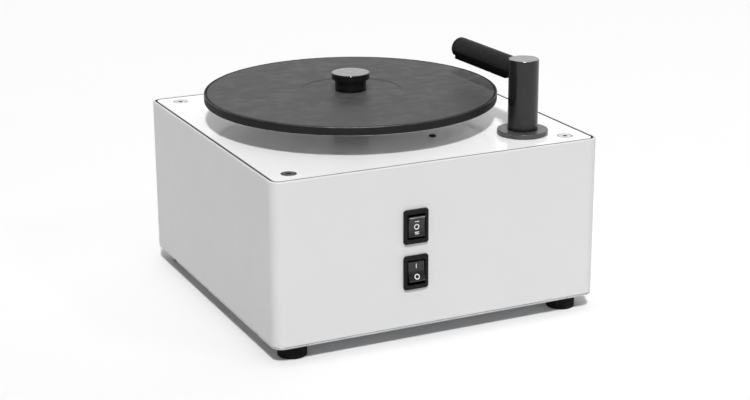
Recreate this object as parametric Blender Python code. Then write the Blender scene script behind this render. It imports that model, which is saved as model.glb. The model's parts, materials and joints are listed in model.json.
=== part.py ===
"""Record cleaning machine: a square metal case with a platter, a clamp and a swinging suction arm.

Units are metres and +Z is up. The front with the two rocker switches looks along -Y. The origin
lies on the floor, under the middle of the object.
"""

from math import cos, pi, radians, sin, tan

import bmesh
import bpy
from mathutils import Matrix, Vector

ORIGIN = (0.0, 0.0, 0.0)
ALONG_X = Matrix.Rotation(pi / 2, 3, "Y")
ALONG_Y = Matrix.Rotation(-pi / 2, 3, "X")

# General clearances and smoothness
GAP = 0.0003
WELD = 0.000001
CUT_OVERRUN = 0.002
SHARP_ANGLE = radians(35)
FINE_SIDES = 64
ROUND_SIDES = 28
SMALL_SIDES = 16
SCREW_SIDES = 8
CORNER_STEPS = 4

# Case: a bent sheet wrap, closed by a base plate and a recessed top plate
CASE_WIDTH = 0.320
CASE_DEPTH = 0.317
CASE_HEIGHT = 0.1514
CORNER_RADIUS = 0.010
SHEET = 0.002
LOWER_EDGE_RADIUS = 0.0012
LIP_WIDTH = 0.010
FLOOR_CORNER_RADIUS = 0.060
BASE_THICKNESS = 0.0015
BASE_INSET = 0.0003
PLATE_THICKNESS = 0.004
PLATE_RECESS = 0.0011
SEAM_WIDTH = 0.0015
GASKET_DROP = 0.0006
GASKET_LEDGE = 0.005
GASKET_THICKNESS = 0.0012

# Vents in the base plate, below the blower, and in the back wall
BASE_VENT_COUNT = 7
BASE_VENT_PITCH = 0.009
BASE_VENT_WIDTH = 0.003
BASE_VENT_LENGTH = 0.044
BACK_VENT_COUNT = 8
BACK_VENT_PITCH = 0.008
BACK_VENT_WIDTH = 0.003
BACK_VENT_HEIGHT = 0.036

# Feet and the posts above them
FOOT_HEIGHT = 0.0142
FOOT_RADIUS = 0.0131
FOOT_CHAMFER = 0.0010
FOOT_INSET_X = 0.0240
FOOT_INSET_Y = 0.0210
FOOT_STUD_RADIUS = 0.0025
FOOT_STUD_LENGTH = 0.0160
POST_RADIUS = 0.0070
POST_THREAD_DEPTH = 0.018

# Screws: countersunk in the top plate, pan heads at the mains inlet
HEAD_EDGE_SHARE = 1 / 3
TOP_SCREW_HEAD_RADIUS = 0.0064
TOP_SCREW_HEAD_DEPTH = 0.0033
TOP_SCREW_RADIUS = 0.0030
TOP_SCREW_LENGTH = 0.016
TOP_SCREW_SOCKET_RADIUS = 0.0022
TOP_SCREW_SOCKET_DEPTH = 0.0022

# Platter with its inset mat and the hub below it
PLATTER_X = -0.015
PLATTER_Y = 0.0
PLATTER_RADIUS = 0.137
PLATTER_GAP = 0.0217
PLATTER_THICKNESS = 0.0079
PLATTER_CHAMFER = 0.0008
MAT_RIM = 0.0026
MAT_THICKNESS = 0.0016
MAT_EDGE = 0.0004
LABEL_RADIUS = 0.0470
LABEL_DEPTH = 0.0005
HUB_RADIUS = 0.0160
HUB_CHAMFER = 0.0006

# Spindle, bearing and drive
SPINDLE_RADIUS = 0.0050
SPINDLE_TIP_RADIUS = 0.0035
SPINDLE_TIP_RISE = 0.0125
SPINDLE_DRIVE_LENGTH = 0.016
HOUSING_HEIGHT = 0.0082
HOUSING_RADIUS = 0.0155
HOUSING_NECK_RADIUS = 0.0110
BUSH_WALL = 0.0020
BUSH_FLANGE_RADIUS = 0.0090
BUSH_FLANGE_THICKNESS = 0.0012
BRIDGE_THICKNESS = 0.0025
BRIDGE_EDGE = 0.0095
BRIDGE_ARM_X = 0.0423
BRIDGE_ARM_Y = 0.0857
BRIDGE_TAIL = 0.0750
BRIDGE_SCREW_RADIUS = 0.0018
BRIDGE_SCREW_HEAD_RADIUS = 0.0032
BRIDGE_SCREW_HEAD_DEPTH = 0.0015
BRIDGE_SCREW_SLOT_WIDTH = 0.0008
BRIDGE_SCREW_SLOT_DEPTH = 0.0007
GEARBOX_RADIUS = 0.0300
GEARBOX_HEIGHT = 0.0240
GEARBOX_CHAMFER = 0.0020
MOTOR_RADIUS = 0.0270
MOTOR_HEIGHT = 0.0480
MOTOR_CHAMFER = 0.0030

# Clamp: a knob on the spindle's thread, with a pad below it
CLAMP_CAP_RADIUS = 0.0179
CLAMP_CAP_THICKNESS = 0.0060
CLAMP_BODY_RADIUS = 0.0148
CLAMP_BODY_HEIGHT = 0.0094
CLAMP_CHAMFER = 0.0006
CLAMP_PAD_RADIUS = 0.0144
CLAMP_PAD_THICKNESS = 0.0010
CLAMP_BORE_SPARE = 0.0010

# Arm: flange and guide tube on the case, column and suction tube on the swinging side
ARM_OFFSET_X = 0.1205
ARM_OFFSET_Y = 0.1132
ARM_REST_ANGLE = radians(1.8)
FLANGE_RADIUS = 0.0233
FLANGE_HEIGHT = 0.0042
FLANGE_CHAMFER = 0.0005
FLANGE_SOCKET_DEPTH = 0.0032
COLUMN_RADIUS = 0.0137
COLUMN_WALL = 0.0022
COLUMN_TOP_RISE = 0.0698
COLUMN_LENGTH = 0.1220
COLUMN_TOP_THICKNESS = 0.0022
COLUMN_CHAMFER = 0.0005
GUIDE_WALL = 0.0025
GUIDE_LENGTH = 0.0930
GUIDE_FLOOR = 0.0025
GUIDE_STEP = 0.0010
GUIDE_COLLAR_RADIUS = 0.0230
GUIDE_COLLAR_THICKNESS = 0.0030
THRUST_THICKNESS = 0.0032
THRUST_PILOT_HEIGHT = 0.0050
THRUST_PILOT_WALL = 0.0016
SPRING_WIRE_RADIUS = 0.0008
SPRING_SIDE_GAP = 0.0008
SPRING_TURNS = 6
SPRING_STEPS = 14
SPRING_SIDES = 5
TUBE_RADIUS = 0.0100
TUBE_BORE_RADIUS = 0.0046
TUBE_AXIS_DROP = 0.0121
TUBE_REACH = 0.1126
TUBE_FLAT_DROP = 0.0060
TUBE_SPIGOT_RADIUS = 0.0072
TUBE_SPIGOT_START = 0.0090
SLOT_WIDTH = 0.0028
SLOT_START = 0.0300
SLOT_END_MARGIN = 0.0070
FELT_THICKNESS = 0.0034
FELT_WIDTH = 0.0154
FELT_START = 0.0200
END_CAP_THICKNESS = 0.0020
END_CAP_CHAMFER = 0.0005
END_CAP_SPIGOT_LENGTH = 0.0040

# Air path: hoses between the arm guide, the tank and the blower
HOSE_BORE_RADIUS = 0.0082
HOSE_WALL = 0.0022
SPIGOT_WALL = 0.0018
SPIGOT_LENGTH = 0.0140
SUCTION_OUTLET_RISE = 0.0090
HOSE_TANK_ENTRY = 0.0040

# Waste tank with its lid and strap
TANK_WIDTH = 0.086
TANK_DEPTH = 0.196
TANK_HEIGHT = 0.104
TANK_WALL = 0.0025
TANK_CORNER_RADIUS = 0.006
TANK_X = 0.083
TANK_Y = 0.036
LID_THICKNESS = 0.0030
LID_RIM_DEPTH = 0.0060
LID_RIM_WALL = 0.0020
STRAP_WIDTH = 0.018
STRAP_THICKNESS = 0.0012
STRAP_FOOT = 0.011
STRAP_Y = 0.020

# Drain at the back of the tank
DRAIN_RISE = 0.0120
DRAIN_BORE_RADIUS = 0.0045
DRAIN_WALL = 0.0018
DRAIN_FLANGE_RADIUS = 0.0105
DRAIN_FLANGE_THICKNESS = 0.0022
DRAIN_TANK_ENTRY = 0.0040
PLUG_HEAD_RADIUS = 0.0078
PLUG_LENGTH = 0.0120
PLUG_CHAMFER = 0.0006

# Blower: motor frame on a rubber ring, fan housing above it
BLOWER_X = -0.092
BLOWER_Y = 0.070
BLOWER_RING_HEIGHT = 0.0060
BLOWER_RING_RADIUS = 0.0440
BLOWER_RING_WIDTH = 0.0120
BLOWER_FRAME_RADIUS = 0.0420
BLOWER_FRAME_HEIGHT = 0.0560
BLOWER_FRAME_END = 0.0060
FIELD_BORE_RADIUS = 0.0230
FAN_HOUSING_RADIUS = 0.0530
FAN_HOUSING_HEIGHT = 0.0360
FAN_HOUSING_WALL = 0.0025
FAN_HOUSING_CHAMFER = 0.0030
FAN_EXHAUST_WIDTH = 0.022
FAN_EXHAUST_HEIGHT = 0.009
BLOWER_SHAFT_RADIUS = 0.0040
ARMATURE_RADIUS = 0.0220
ARMATURE_END_GAP = 0.0040
FAN_RADIUS = 0.0460
FAN_DISC_THICKNESS = 0.0020
FAN_FLOOR_GAP = 0.0040
FAN_BLADE_COUNT = 9
FAN_BLADE_HEIGHT = 0.0070
FAN_BLADE_THICKNESS = 0.0012
FAN_EYE_RADIUS = 0.0140
FAN_BLADE_SWEEP = radians(35)

# Rocker switches in the front wall
SWITCH_X = -0.0265
MOTOR_SWITCH_Z = 0.1081
VACUUM_SWITCH_Z = 0.0660
BEZEL_WIDTH = 0.0240
BEZEL_HEIGHT = 0.0314
BEZEL_THICKNESS = 0.0020
BEZEL_CORNER_RADIUS = 0.0020
BEZEL_CHAMFER = 0.0008
SWITCH_BODY_WIDTH = 0.0214
SWITCH_BODY_HEIGHT = 0.0288
SWITCH_BODY_DEPTH = 0.0210
WINDOW_WIDTH = 0.0174
WINDOW_HEIGHT = 0.0256
WINDOW_DEPTH = 0.0135
TERMINAL_WIDTH = 0.0048
TERMINAL_THICKNESS = 0.0008
TERMINAL_LENGTH = 0.0080
TERMINAL_PITCH = 0.0080
ROCKER_WIDTH = 0.0168
ROCKER_TILT = radians(11)
ROCKER_HALF_HEIGHT = 0.0106
ROCKER_FACE_RISE = 0.0060
ROCKER_PIVOT_DEPTH = 0.0050
ROCKER_SIDE_HEIGHT = 0.0114
ROCKER_SIDE_RISE = 0.0020
ROCKER_BACK_HEIGHT = 0.0060
ROCKER_BACK_DEPTH = 0.0055
PIVOT_PIN_RADIUS = 0.0014
PIVOT_PIN_LENGTH = 0.0012

# Mains inlet in the back wall
INLET_X = -0.005
INLET_Z = 0.0500
INLET_FLANGE_WIDTH = 0.0500
INLET_FLANGE_HEIGHT = 0.0226
INLET_FLANGE_THICKNESS = 0.0022
INLET_FLANGE_CORNER = 0.0040
INLET_BODY_WIDTH = 0.0276
INLET_BODY_HEIGHT = 0.0200
INLET_BODY_DEPTH = 0.0200
INLET_CAVITY_WIDTH = 0.0245
INLET_CAVITY_HEIGHT = 0.0168
INLET_CAVITY_DEPTH = 0.0165
INLET_CAVITY_CORNER = 0.0030
INLET_PIN_WIDTH = 0.0020
INLET_PIN_HEIGHT = 0.0040
INLET_PIN_SETBACK = 0.0020
INLET_PIN_SPACING = 0.0140
INLET_EARTH_RISE = 0.0020
INLET_SCREW_SPACING = 0.0400
INLET_SCREW_RADIUS = 0.0015
INLET_SCREW_LENGTH = 0.0090
INLET_SCREW_HEAD_RADIUS = 0.0029
INLET_SCREW_HEAD_DEPTH = 0.0018

# Electrical pieces on the base plate and their leads
CAPACITOR_X = -0.062
CAPACITOR_Y = -0.050
CAPACITOR_RADIUS = 0.0125
CAPACITOR_HEIGHT = 0.052
CAPACITOR_CHAMFER = 0.0012
BLOCK_X = 0.000
BLOCK_Y = 0.096
BLOCK_WIDTH = 0.048
BLOCK_DEPTH = 0.017
BLOCK_HEIGHT = 0.014
BLOCK_WELL_COUNT = 5
BLOCK_WELL_PITCH = 0.009
BLOCK_WELL_RADIUS = 0.0016
BLOCK_WELL_DEPTH = 0.0050
SLEEVE_RADIUS = 0.0038
SLEEVE_FRONT_Y = -0.100
LEAD_RADIUS = 0.0022
LEAD_SIDES = 6
LEAD_STEPS = 3
LEAD_BEND = 0.0120
BEND_SHARE = 0.45

# Heights worked out from the sizes above, from the floor up
BASE_LOW = FOOT_HEIGHT
BASE_TOP = BASE_LOW + BASE_THICKNESS
WRAP_LOW = BASE_TOP + GAP
CASE_TOP = FOOT_HEIGHT + CASE_HEIGHT
PLATE_TOP = CASE_TOP - PLATE_RECESS
PLATE_LOW = PLATE_TOP - PLATE_THICKNESS
FLOOR_SEAT = BASE_TOP + GAP
BRIDGE_TOP = PLATE_LOW - GAP
BRIDGE_LOW = BRIDGE_TOP - BRIDGE_THICKNESS
GEARBOX_TOP = BRIDGE_LOW - GAP
HOUSING_LOW = PLATE_TOP + GAP
HOUSING_TOP = HOUSING_LOW + HOUSING_HEIGHT
HUB_LOW = HOUSING_TOP + GAP + BUSH_FLANGE_THICKNESS + GAP
DISC_LOW = PLATE_TOP + PLATTER_GAP
PLATTER_TOP = DISC_LOW + PLATTER_THICKNESS
MAT_LOW = PLATTER_TOP - MAT_THICKNESS
LABEL_TOP = PLATTER_TOP - LABEL_DEPTH
PAD_LOW = LABEL_TOP + GAP
CLAMP_LOW = PAD_LOW + CLAMP_PAD_THICKNESS + GAP
SPINDLE_TOP = PLATTER_TOP + SPINDLE_TIP_RISE
FLANGE_LOW = PLATE_TOP + GAP
FLANGE_TOP = FLANGE_LOW + FLANGE_HEIGHT
GUIDE_TOP = FLANGE_LOW + FLANGE_SOCKET_DEPTH - GAP
GUIDE_LOW = PLATE_TOP - GUIDE_LENGTH
COLUMN_TOP = PLATE_TOP + COLUMN_TOP_RISE
COLUMN_LOW = COLUMN_TOP - COLUMN_LENGTH
TUBE_Z = COLUMN_TOP - TUBE_AXIS_DROP
THRUST_TOP = COLUMN_LOW - GAP
THRUST_LOW = THRUST_TOP - THRUST_THICKNESS
OUTLET_Z = GUIDE_LOW + GUIDE_FLOOR + SUCTION_OUTLET_RISE
TANK_LOW = FLOOR_SEAT
TANK_TOP = TANK_LOW + TANK_HEIGHT
LID_TOP = TANK_TOP + GAP + LID_THICKNESS
FRAME_LOW = FLOOR_SEAT + BLOWER_RING_HEIGHT + GAP
FRAME_TOP = FRAME_LOW + BLOWER_FRAME_HEIGHT
FAN_HOUSING_LOW = FRAME_TOP + GAP
FAN_HOUSING_TOP = FAN_HOUSING_LOW + FAN_HOUSING_HEIGHT
FAN_LOW = FAN_HOUSING_LOW + FAN_HOUSING_WALL + FAN_FLOOR_GAP
DRAIN_Z = TANK_LOW + TANK_WALL + DRAIN_RISE

# Places, radii and reaches worked out from the sizes above
FOOT_SPACING_X = CASE_WIDTH - 2 * FOOT_INSET_X
FOOT_SPACING_Y = CASE_DEPTH - 2 * FOOT_INSET_Y
ARM_X = PLATTER_X + ARM_OFFSET_X
ARM_Y = PLATTER_Y - ARM_OFFSET_Y
DRAIN_X = TANK_X
GUIDE_BORE = COLUMN_RADIUS + GAP
GUIDE_RADIUS = GUIDE_BORE + GUIDE_WALL
CHAMBER_RADIUS = GUIDE_BORE + GUIDE_STEP
COLUMN_BORE = COLUMN_RADIUS - COLUMN_WALL
HOSE_RADIUS = HOSE_BORE_RADIUS + HOSE_WALL
SPIGOT_RADIUS = HOSE_BORE_RADIUS - GAP
AIR_BORE = SPIGOT_RADIUS - SPIGOT_WALL
DRAIN_RADIUS = DRAIN_BORE_RADIUS + DRAIN_WALL
HOUSING_BORE = SPINDLE_RADIUS + GAP + BUSH_WALL + GAP
HOSE_Z = FAN_HOUSING_TOP - FAN_HOUSING_WALL - HOSE_RADIUS
FRONT = -CASE_DEPTH / 2
BACK = CASE_DEPTH / 2
BEZEL_FRONT = FRONT - GAP - BEZEL_THICKNESS
PIVOT_Y = BEZEL_FRONT + ROCKER_PIVOT_DEPTH
ROCKER_END_RISE = ROCKER_FACE_RISE + ROCKER_HALF_HEIGHT * tan(ROCKER_TILT)
ROCKER_PROUD = ROCKER_END_RISE * cos(ROCKER_TILT) + ROCKER_HALF_HEIGHT * sin(ROCKER_TILT)
REACH = ROCKER_PROUD - PIVOT_Y

# Finishes: colour, roughness and metallic value
FINISHES = {
    "white_paint": ((0.80, 0.80, 0.81), 0.42, 0.0),
    "white_plate": ((0.90, 0.90, 0.90), 0.25, 0.0),
    "black_paint": ((0.030, 0.030, 0.032), 0.48, 0.0),
    "black_cast": ((0.060, 0.060, 0.062), 0.62, 0.0),
    "mat_rubber": ((0.085, 0.083, 0.082), 0.72, 0.0),
    "black_rubber": ((0.020, 0.020, 0.020), 0.78, 0.0),
    "black_plastic": ((0.025, 0.025, 0.027), 0.35, 0.0),
    "black_steel": ((0.020, 0.020, 0.022), 0.38, 0.6),
    "bright_steel": ((0.62, 0.62, 0.63), 0.30, 1.0),
    "zinc_steel": ((0.55, 0.56, 0.57), 0.42, 1.0),
    "aluminium": ((0.72, 0.72, 0.73), 0.38, 1.0),
    "bronze": ((0.55, 0.38, 0.20), 0.35, 1.0),
    "felt": ((0.012, 0.012, 0.013), 0.95, 0.0),
    "milk_plastic": ((0.78, 0.79, 0.76), 0.50, 0.0),
    "grey_rubber": ((0.16, 0.16, 0.17), 0.70, 0.0),
    "field_iron": ((0.28, 0.27, 0.26), 0.50, 0.8),
    "lead_sleeve": ((0.10, 0.10, 0.11), 0.55, 0.0),
}


def finished(name, finish):
    """Makes a piece's own material from a named finish."""
    colour, roughness, metallic = FINISHES[finish]
    made = bpy.data.materials.new(name)
    made.use_nodes = True
    shader = made.node_tree.nodes["Principled BSDF"]
    shader.inputs["Base Color"].default_value = (*colour, 1.0)
    shader.inputs["Roughness"].default_value = roughness
    shader.inputs["Metallic"].default_value = metallic
    return made


def linked(name, shape, at, parent):
    """Turns a shape into an object placed in its parent's frame."""
    bmesh.ops.recalc_face_normals(shape, faces=shape.faces)
    mesh = bpy.data.meshes.new(name)
    shape.to_mesh(mesh)
    shape.free()
    made = bpy.data.objects.new(name, mesh)
    bpy.context.collection.objects.link(made)
    made.parent = parent
    made.location = at
    return made


def piece(name, shape, finish, at=ORIGIN, parent=None):
    """Makes one named sub-part with its own material, smooth where it is round."""
    made = linked(name, shape, at, parent)
    made.data.materials.append(finished(name, finish))
    made.data.shade_smooth()
    made.data.set_sharp_from_angle(angle=SHARP_ANGLE)
    return made


def reshape(target, name, shape, operation):
    """Adds or takes away a shape, given in the target's own frame."""
    tool = linked(name, shape, target.location, target.parent)
    tool.hide_render = True
    tool.display_type = "WIRE"
    step = target.modifiers.new(name, "BOOLEAN")
    step.operation = operation
    step.solver = "EXACT"
    step.object = tool


def cut(target, name, shape):
    """Takes a shape away from a sub-part."""
    reshape(target, "cut_" + name, shape, "DIFFERENCE")


def joined(target, name, shape):
    """Adds a shape to a sub-part, as one body."""
    reshape(target, "add_" + name, shape, "UNION")


def axis_empty(name, at, turn=ORIGIN):
    """Makes an empty on a joint's axis, as the parent of what moves with it."""
    made = bpy.data.objects.new(name, None)
    bpy.context.collection.objects.link(made)
    made.location = at
    made.rotation_euler = turn
    return made


def spun(profile, sides):
    """Turns a profile of (radius, height) points about Z; one clear of the axis closes on itself."""
    shape = bmesh.new()
    points = [shape.verts.new((radius, 0.0, height)) for radius, height in profile]
    edges = [shape.edges.new(pair) for pair in zip(points, points[1:])]
    if profile[0][0] > 0:
        edges.append(shape.edges.new((points[-1], points[0])))
    bmesh.ops.spin(
        shape, geom=points + edges, cent=ORIGIN, axis=(0.0, 0.0, 1.0), angle=2 * pi, steps=sides)
    bmesh.ops.remove_doubles(shape, verts=shape.verts, dist=WELD)
    bmesh.ops.recalc_face_normals(shape, faces=shape.faces)
    return shape


def rod(radius, low, high, sides=SMALL_SIDES):
    """Makes a solid cylinder about Z."""
    return spun([(0.0, low), (radius, low), (radius, high), (0.0, high)], sides)


def ring(inner, outer, low, high, sides=SMALL_SIDES):
    """Makes a plain ring about Z."""
    return spun([(inner, low), (outer, low), (outer, high), (inner, high)], sides)


def prism(outline, low, high):
    """Extrudes an outline of (x, y) points from one height to another."""
    shape = bmesh.new()
    face = shape.faces.new([shape.verts.new((x, y, low)) for x, y in outline])
    grown = bmesh.ops.extrude_face_region(shape, geom=[face])["geom"]
    corners = [item for item in grown if isinstance(item, bmesh.types.BMVert)]
    bmesh.ops.translate(shape, verts=corners, vec=(0.0, 0.0, high - low))
    bmesh.ops.recalc_face_normals(shape, faces=shape.faces)
    return shape


def rounded_outline(width, depth, radius, steps=CORNER_STEPS):
    """Gives the outline of a rectangle with round corners, centred on the origin."""
    points = []
    for quarter, (side_x, side_y) in enumerate(((1, 1), (-1, 1), (-1, -1), (1, -1))):
        centre_x = side_x * (width / 2 - radius)
        centre_y = side_y * (depth / 2 - radius)
        for step in range(steps + 1):
            angle = (quarter + step / steps) * pi / 2
            points.append((centre_x + radius * cos(angle), centre_y + radius * sin(angle)))
    return points


def wrapped_outline(centres, radius, steps=CORNER_STEPS):
    """Gives the outline of a band drawn round equal discs, listed anticlockwise."""
    points = []
    count = len(centres)
    for index, (x, y) in enumerate(centres):
        before = Vector((x, y)) - Vector(centres[index - 1])
        after = Vector(centres[(index + 1) % count]) - Vector((x, y))
        start = Vector((before.y, -before.x)).normalized()
        turn = before.angle_signed(after) * -1
        for step in range(steps + 1):
            angle = turn * step / steps
            points.append((
                x + radius * (start.x * cos(angle) - start.y * sin(angle)),
                y + radius * (start.x * sin(angle) + start.y * cos(angle))))
    return points


def block(width, depth, low, high):
    """Makes a box centred on the Z axis."""
    return prism([(width / 2, depth / 2), (-width / 2, depth / 2),
                  (-width / 2, -depth / 2), (width / 2, -depth / 2)], low, high)


def moved(shape, x, y, z):
    """Shifts a shape."""
    bmesh.ops.translate(shape, verts=shape.verts, vec=(x, y, z))
    return shape


def laid(shape, turn):
    """Turns a shape about the origin."""
    bmesh.ops.rotate(shape, verts=shape.verts, cent=ORIGIN, matrix=turn)
    return shape


def together(shapes):
    """Puts several shapes into one, as separate bodies."""
    group = bmesh.new()
    for shape in shapes:
        held = bpy.data.meshes.new("held")
        shape.to_mesh(held)
        shape.free()
        group.from_mesh(held)
        bpy.data.meshes.remove(held)
    return group


def softened(shape, keep, width, segments=1):
    """Bevels the sharp edges whose middle passes a test."""
    edges = [edge for edge in shape.edges
             if edge.calc_face_angle(0.0) > SHARP_ANGLE and keep((edge.verts[0].co + edge.verts[1].co) / 2)]
    bmesh.ops.bevel(
        shape, geom=edges, offset=width, segments=segments, affect="EDGES", profile=0.5,
        clamp_overlap=True)
    return shape


def corner_places(spacing_x, spacing_y):
    """Names and gives the four corners of a rectangle."""
    return {
        "front_left": (-spacing_x / 2, -spacing_y / 2),
        "front_right": (spacing_x / 2, -spacing_y / 2),
        "back_left": (-spacing_x / 2, spacing_y / 2),
        "back_right": (spacing_x / 2, spacing_y / 2),
    }


POSTS = corner_places(FOOT_SPACING_X, FOOT_SPACING_Y)
BRIDGE_PLACES = {
    "back": (BRIDGE_ARM_X, BRIDGE_ARM_Y),
    "left": (-BRIDGE_TAIL, 0.0),
    "front": (BRIDGE_ARM_X, -BRIDGE_ARM_Y),
}


def case_outline(inset):
    """Gives the case's outline, drawn in by an inset."""
    return rounded_outline(CASE_WIDTH - 2 * inset, CASE_DEPTH - 2 * inset, CORNER_RADIUS - inset)


def make_casing():
    """Makes the bent sheet wrap with its inward lip, wider at the corners, and all its cut-outs."""
    wrap = softened(prism(case_outline(0.0), WRAP_LOW, CASE_TOP),
                    lambda middle: middle.z < WRAP_LOW + WELD, LOWER_EDGE_RADIUS, 2)
    made = piece("casing", wrap, "white_paint")
    cut(made, "case_inside", prism(case_outline(SHEET), WRAP_LOW + SHEET, CASE_TOP + CUT_OVERRUN))
    low = WRAP_LOW - CUT_OVERRUN
    high = WRAP_LOW + SHEET + CUT_OVERRUN
    lip = 2 * (SHEET + LIP_WIDTH)
    openings = [prism(rounded_outline(CASE_WIDTH - lip, CASE_DEPTH - lip, FLOOR_CORNER_RADIUS), low, high)]
    openings += [moved(rod(FOOT_STUD_RADIUS + GAP, low, high, SCREW_SIDES), x, y, 0.0)
                 for x, y in POSTS.values()]
    cut(made, "case_floor", together(openings))
    reach = SHEET + CUT_OVERRUN
    switch = (SWITCH_BODY_WIDTH + 2 * GAP, SWITCH_BODY_HEIGHT + 2 * GAP)
    cut(made, "case_front", together([
        moved(laid(block(*switch, -reach, CUT_OVERRUN), ALONG_Y), SWITCH_X, FRONT + SHEET, z)
        for z in (MOTOR_SWITCH_Z, VACUUM_SWITCH_Z)]))
    holes = [moved(laid(block(INLET_BODY_WIDTH + 2 * GAP, INLET_BODY_HEIGHT + 2 * GAP, -reach, CUT_OVERRUN),
                        ALONG_Y), INLET_X, BACK, INLET_Z)]
    for side in (-1, 1):
        screw = laid(rod(INLET_SCREW_RADIUS + GAP, -reach, CUT_OVERRUN, SCREW_SIDES), ALONG_Y)
        holes.append(moved(screw, INLET_X + side * INLET_SCREW_SPACING / 2, BACK, INLET_Z))
    holes.append(moved(laid(rod(DRAIN_RADIUS + GAP, -reach, CUT_OVERRUN), ALONG_Y), DRAIN_X, BACK, DRAIN_Z))
    for index in range(BACK_VENT_COUNT):
        x = BLOWER_X + (index - (BACK_VENT_COUNT - 1) / 2) * BACK_VENT_PITCH
        vent = laid(block(BACK_VENT_WIDTH, BACK_VENT_HEIGHT, -reach, CUT_OVERRUN), ALONG_Y)
        holes.append(moved(vent, x, BACK, FAN_HOUSING_LOW + FAN_HOUSING_WALL + FAN_EXHAUST_HEIGHT))
    cut(made, "case_back", together(holes))


def make_top_plate():
    """Makes the recessed white plate with its countersinks and bores."""
    inset = SHEET + SEAM_WIDTH
    made = piece("top_plate", prism(case_outline(inset), PLATE_LOW, PLATE_TOP), "white_plate")
    low = PLATE_LOW - CUT_OVERRUN
    high = PLATE_TOP + CUT_OVERRUN
    head = TOP_SCREW_HEAD_RADIUS + GAP
    neck = TOP_SCREW_RADIUS + GAP
    sink = PLATE_TOP - TOP_SCREW_HEAD_DEPTH
    holes = [moved(spun([(0.0, low), (neck, low), (neck, sink), (head, PLATE_TOP), (head, high), (0.0, high)],
                        SMALL_SIDES), x, y, 0.0) for x, y in POSTS.values()]
    holes.append(moved(rod(HOUSING_NECK_RADIUS + GAP, low, high), PLATTER_X, PLATTER_Y, 0.0))
    for x, y in BRIDGE_PLACES.values():
        holes.append(moved(rod(BRIDGE_SCREW_RADIUS + GAP, low, high, SCREW_SIDES),
                           PLATTER_X + x, PLATTER_Y + y, 0.0))
    holes.append(moved(rod(GUIDE_RADIUS + GAP, low, high, ROUND_SIDES), ARM_X, ARM_Y, 0.0))
    cut(made, "plate_holes", together(holes))


def make_top_gasket():
    """Makes the dark strip that fills the seam and lies under the plate's edge."""
    low = PLATE_LOW - GAP - GASKET_THICKNESS
    made = piece("top_gasket", prism(case_outline(SHEET + GAP), low, PLATE_TOP - GASKET_DROP), "black_rubber")
    cut(made, "gasket_plate", prism(case_outline(SHEET + SEAM_WIDTH - GAP), PLATE_LOW - GAP, PLATE_TOP))
    cut(made, "gasket_middle", prism(case_outline(SHEET + GASKET_LEDGE), low - CUT_OVERRUN, PLATE_TOP))


def make_base_plate():
    """Makes the base plate with its screw holes and vent slots."""
    made = piece("base_plate", prism(case_outline(BASE_INSET), BASE_LOW, BASE_TOP), "zinc_steel")
    low = BASE_LOW - CUT_OVERRUN
    high = BASE_TOP + CUT_OVERRUN
    holes = [moved(rod(FOOT_STUD_RADIUS + GAP, low, high, SCREW_SIDES), x, y, 0.0) for x, y in POSTS.values()]
    for index in range(BASE_VENT_COUNT):
        x = BLOWER_X + (index - (BASE_VENT_COUNT - 1) / 2) * BASE_VENT_PITCH
        holes.append(moved(block(BASE_VENT_WIDTH, BASE_VENT_LENGTH, low, high), x, BLOWER_Y, 0.0))
    cut(made, "base_holes", together(holes))


def make_corner_supports():
    """Makes the four posts, the feet whose studs enter them from below, and the screws from above."""
    low = WRAP_LOW + SHEET + GAP
    high = PLATE_LOW - GAP
    upper = TOP_SCREW_RADIUS + GAP
    lower = FOOT_STUD_RADIUS + GAP
    lower_end = low + POST_THREAD_DEPTH
    upper_end = high - POST_THREAD_DEPTH
    post = [(0.0, lower_end), (lower, lower_end), (lower, low), (POST_RADIUS, low),
            (POST_RADIUS, high), (upper, high), (upper, upper_end), (0.0, upper_end)]
    foot_top = BASE_LOW - GAP
    stud = FOOT_STUD_RADIUS
    foot = [(0.0, 0.0), (FOOT_RADIUS - FOOT_CHAMFER, 0.0), (FOOT_RADIUS, FOOT_CHAMFER),
            (FOOT_RADIUS, foot_top - FOOT_CHAMFER), (FOOT_RADIUS - FOOT_CHAMFER, foot_top), (stud, foot_top),
            (stud, foot_top + FOOT_STUD_LENGTH), (0.0, foot_top + FOOT_STUD_LENGTH)]
    sink = PLATE_TOP - TOP_SCREW_HEAD_DEPTH
    floor = PLATE_TOP - TOP_SCREW_SOCKET_DEPTH
    tip = sink - TOP_SCREW_LENGTH
    screw = [(0.0, tip), (TOP_SCREW_RADIUS, tip), (TOP_SCREW_RADIUS, sink),
             (TOP_SCREW_HEAD_RADIUS, PLATE_TOP), (TOP_SCREW_SOCKET_RADIUS, PLATE_TOP),
             (TOP_SCREW_SOCKET_RADIUS, floor), (0.0, floor)]
    for corner, (x, y) in POSTS.items():
        piece("corner_post_" + corner, spun(post, SMALL_SIDES), "aluminium", (x, y, 0.0))
        piece("foot_" + corner, spun(foot, SMALL_SIDES), "black_rubber", (x, y, 0.0))
        piece("top_screw_" + corner, spun(screw, SMALL_SIDES), "black_steel", (x, y, 0.0))


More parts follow.
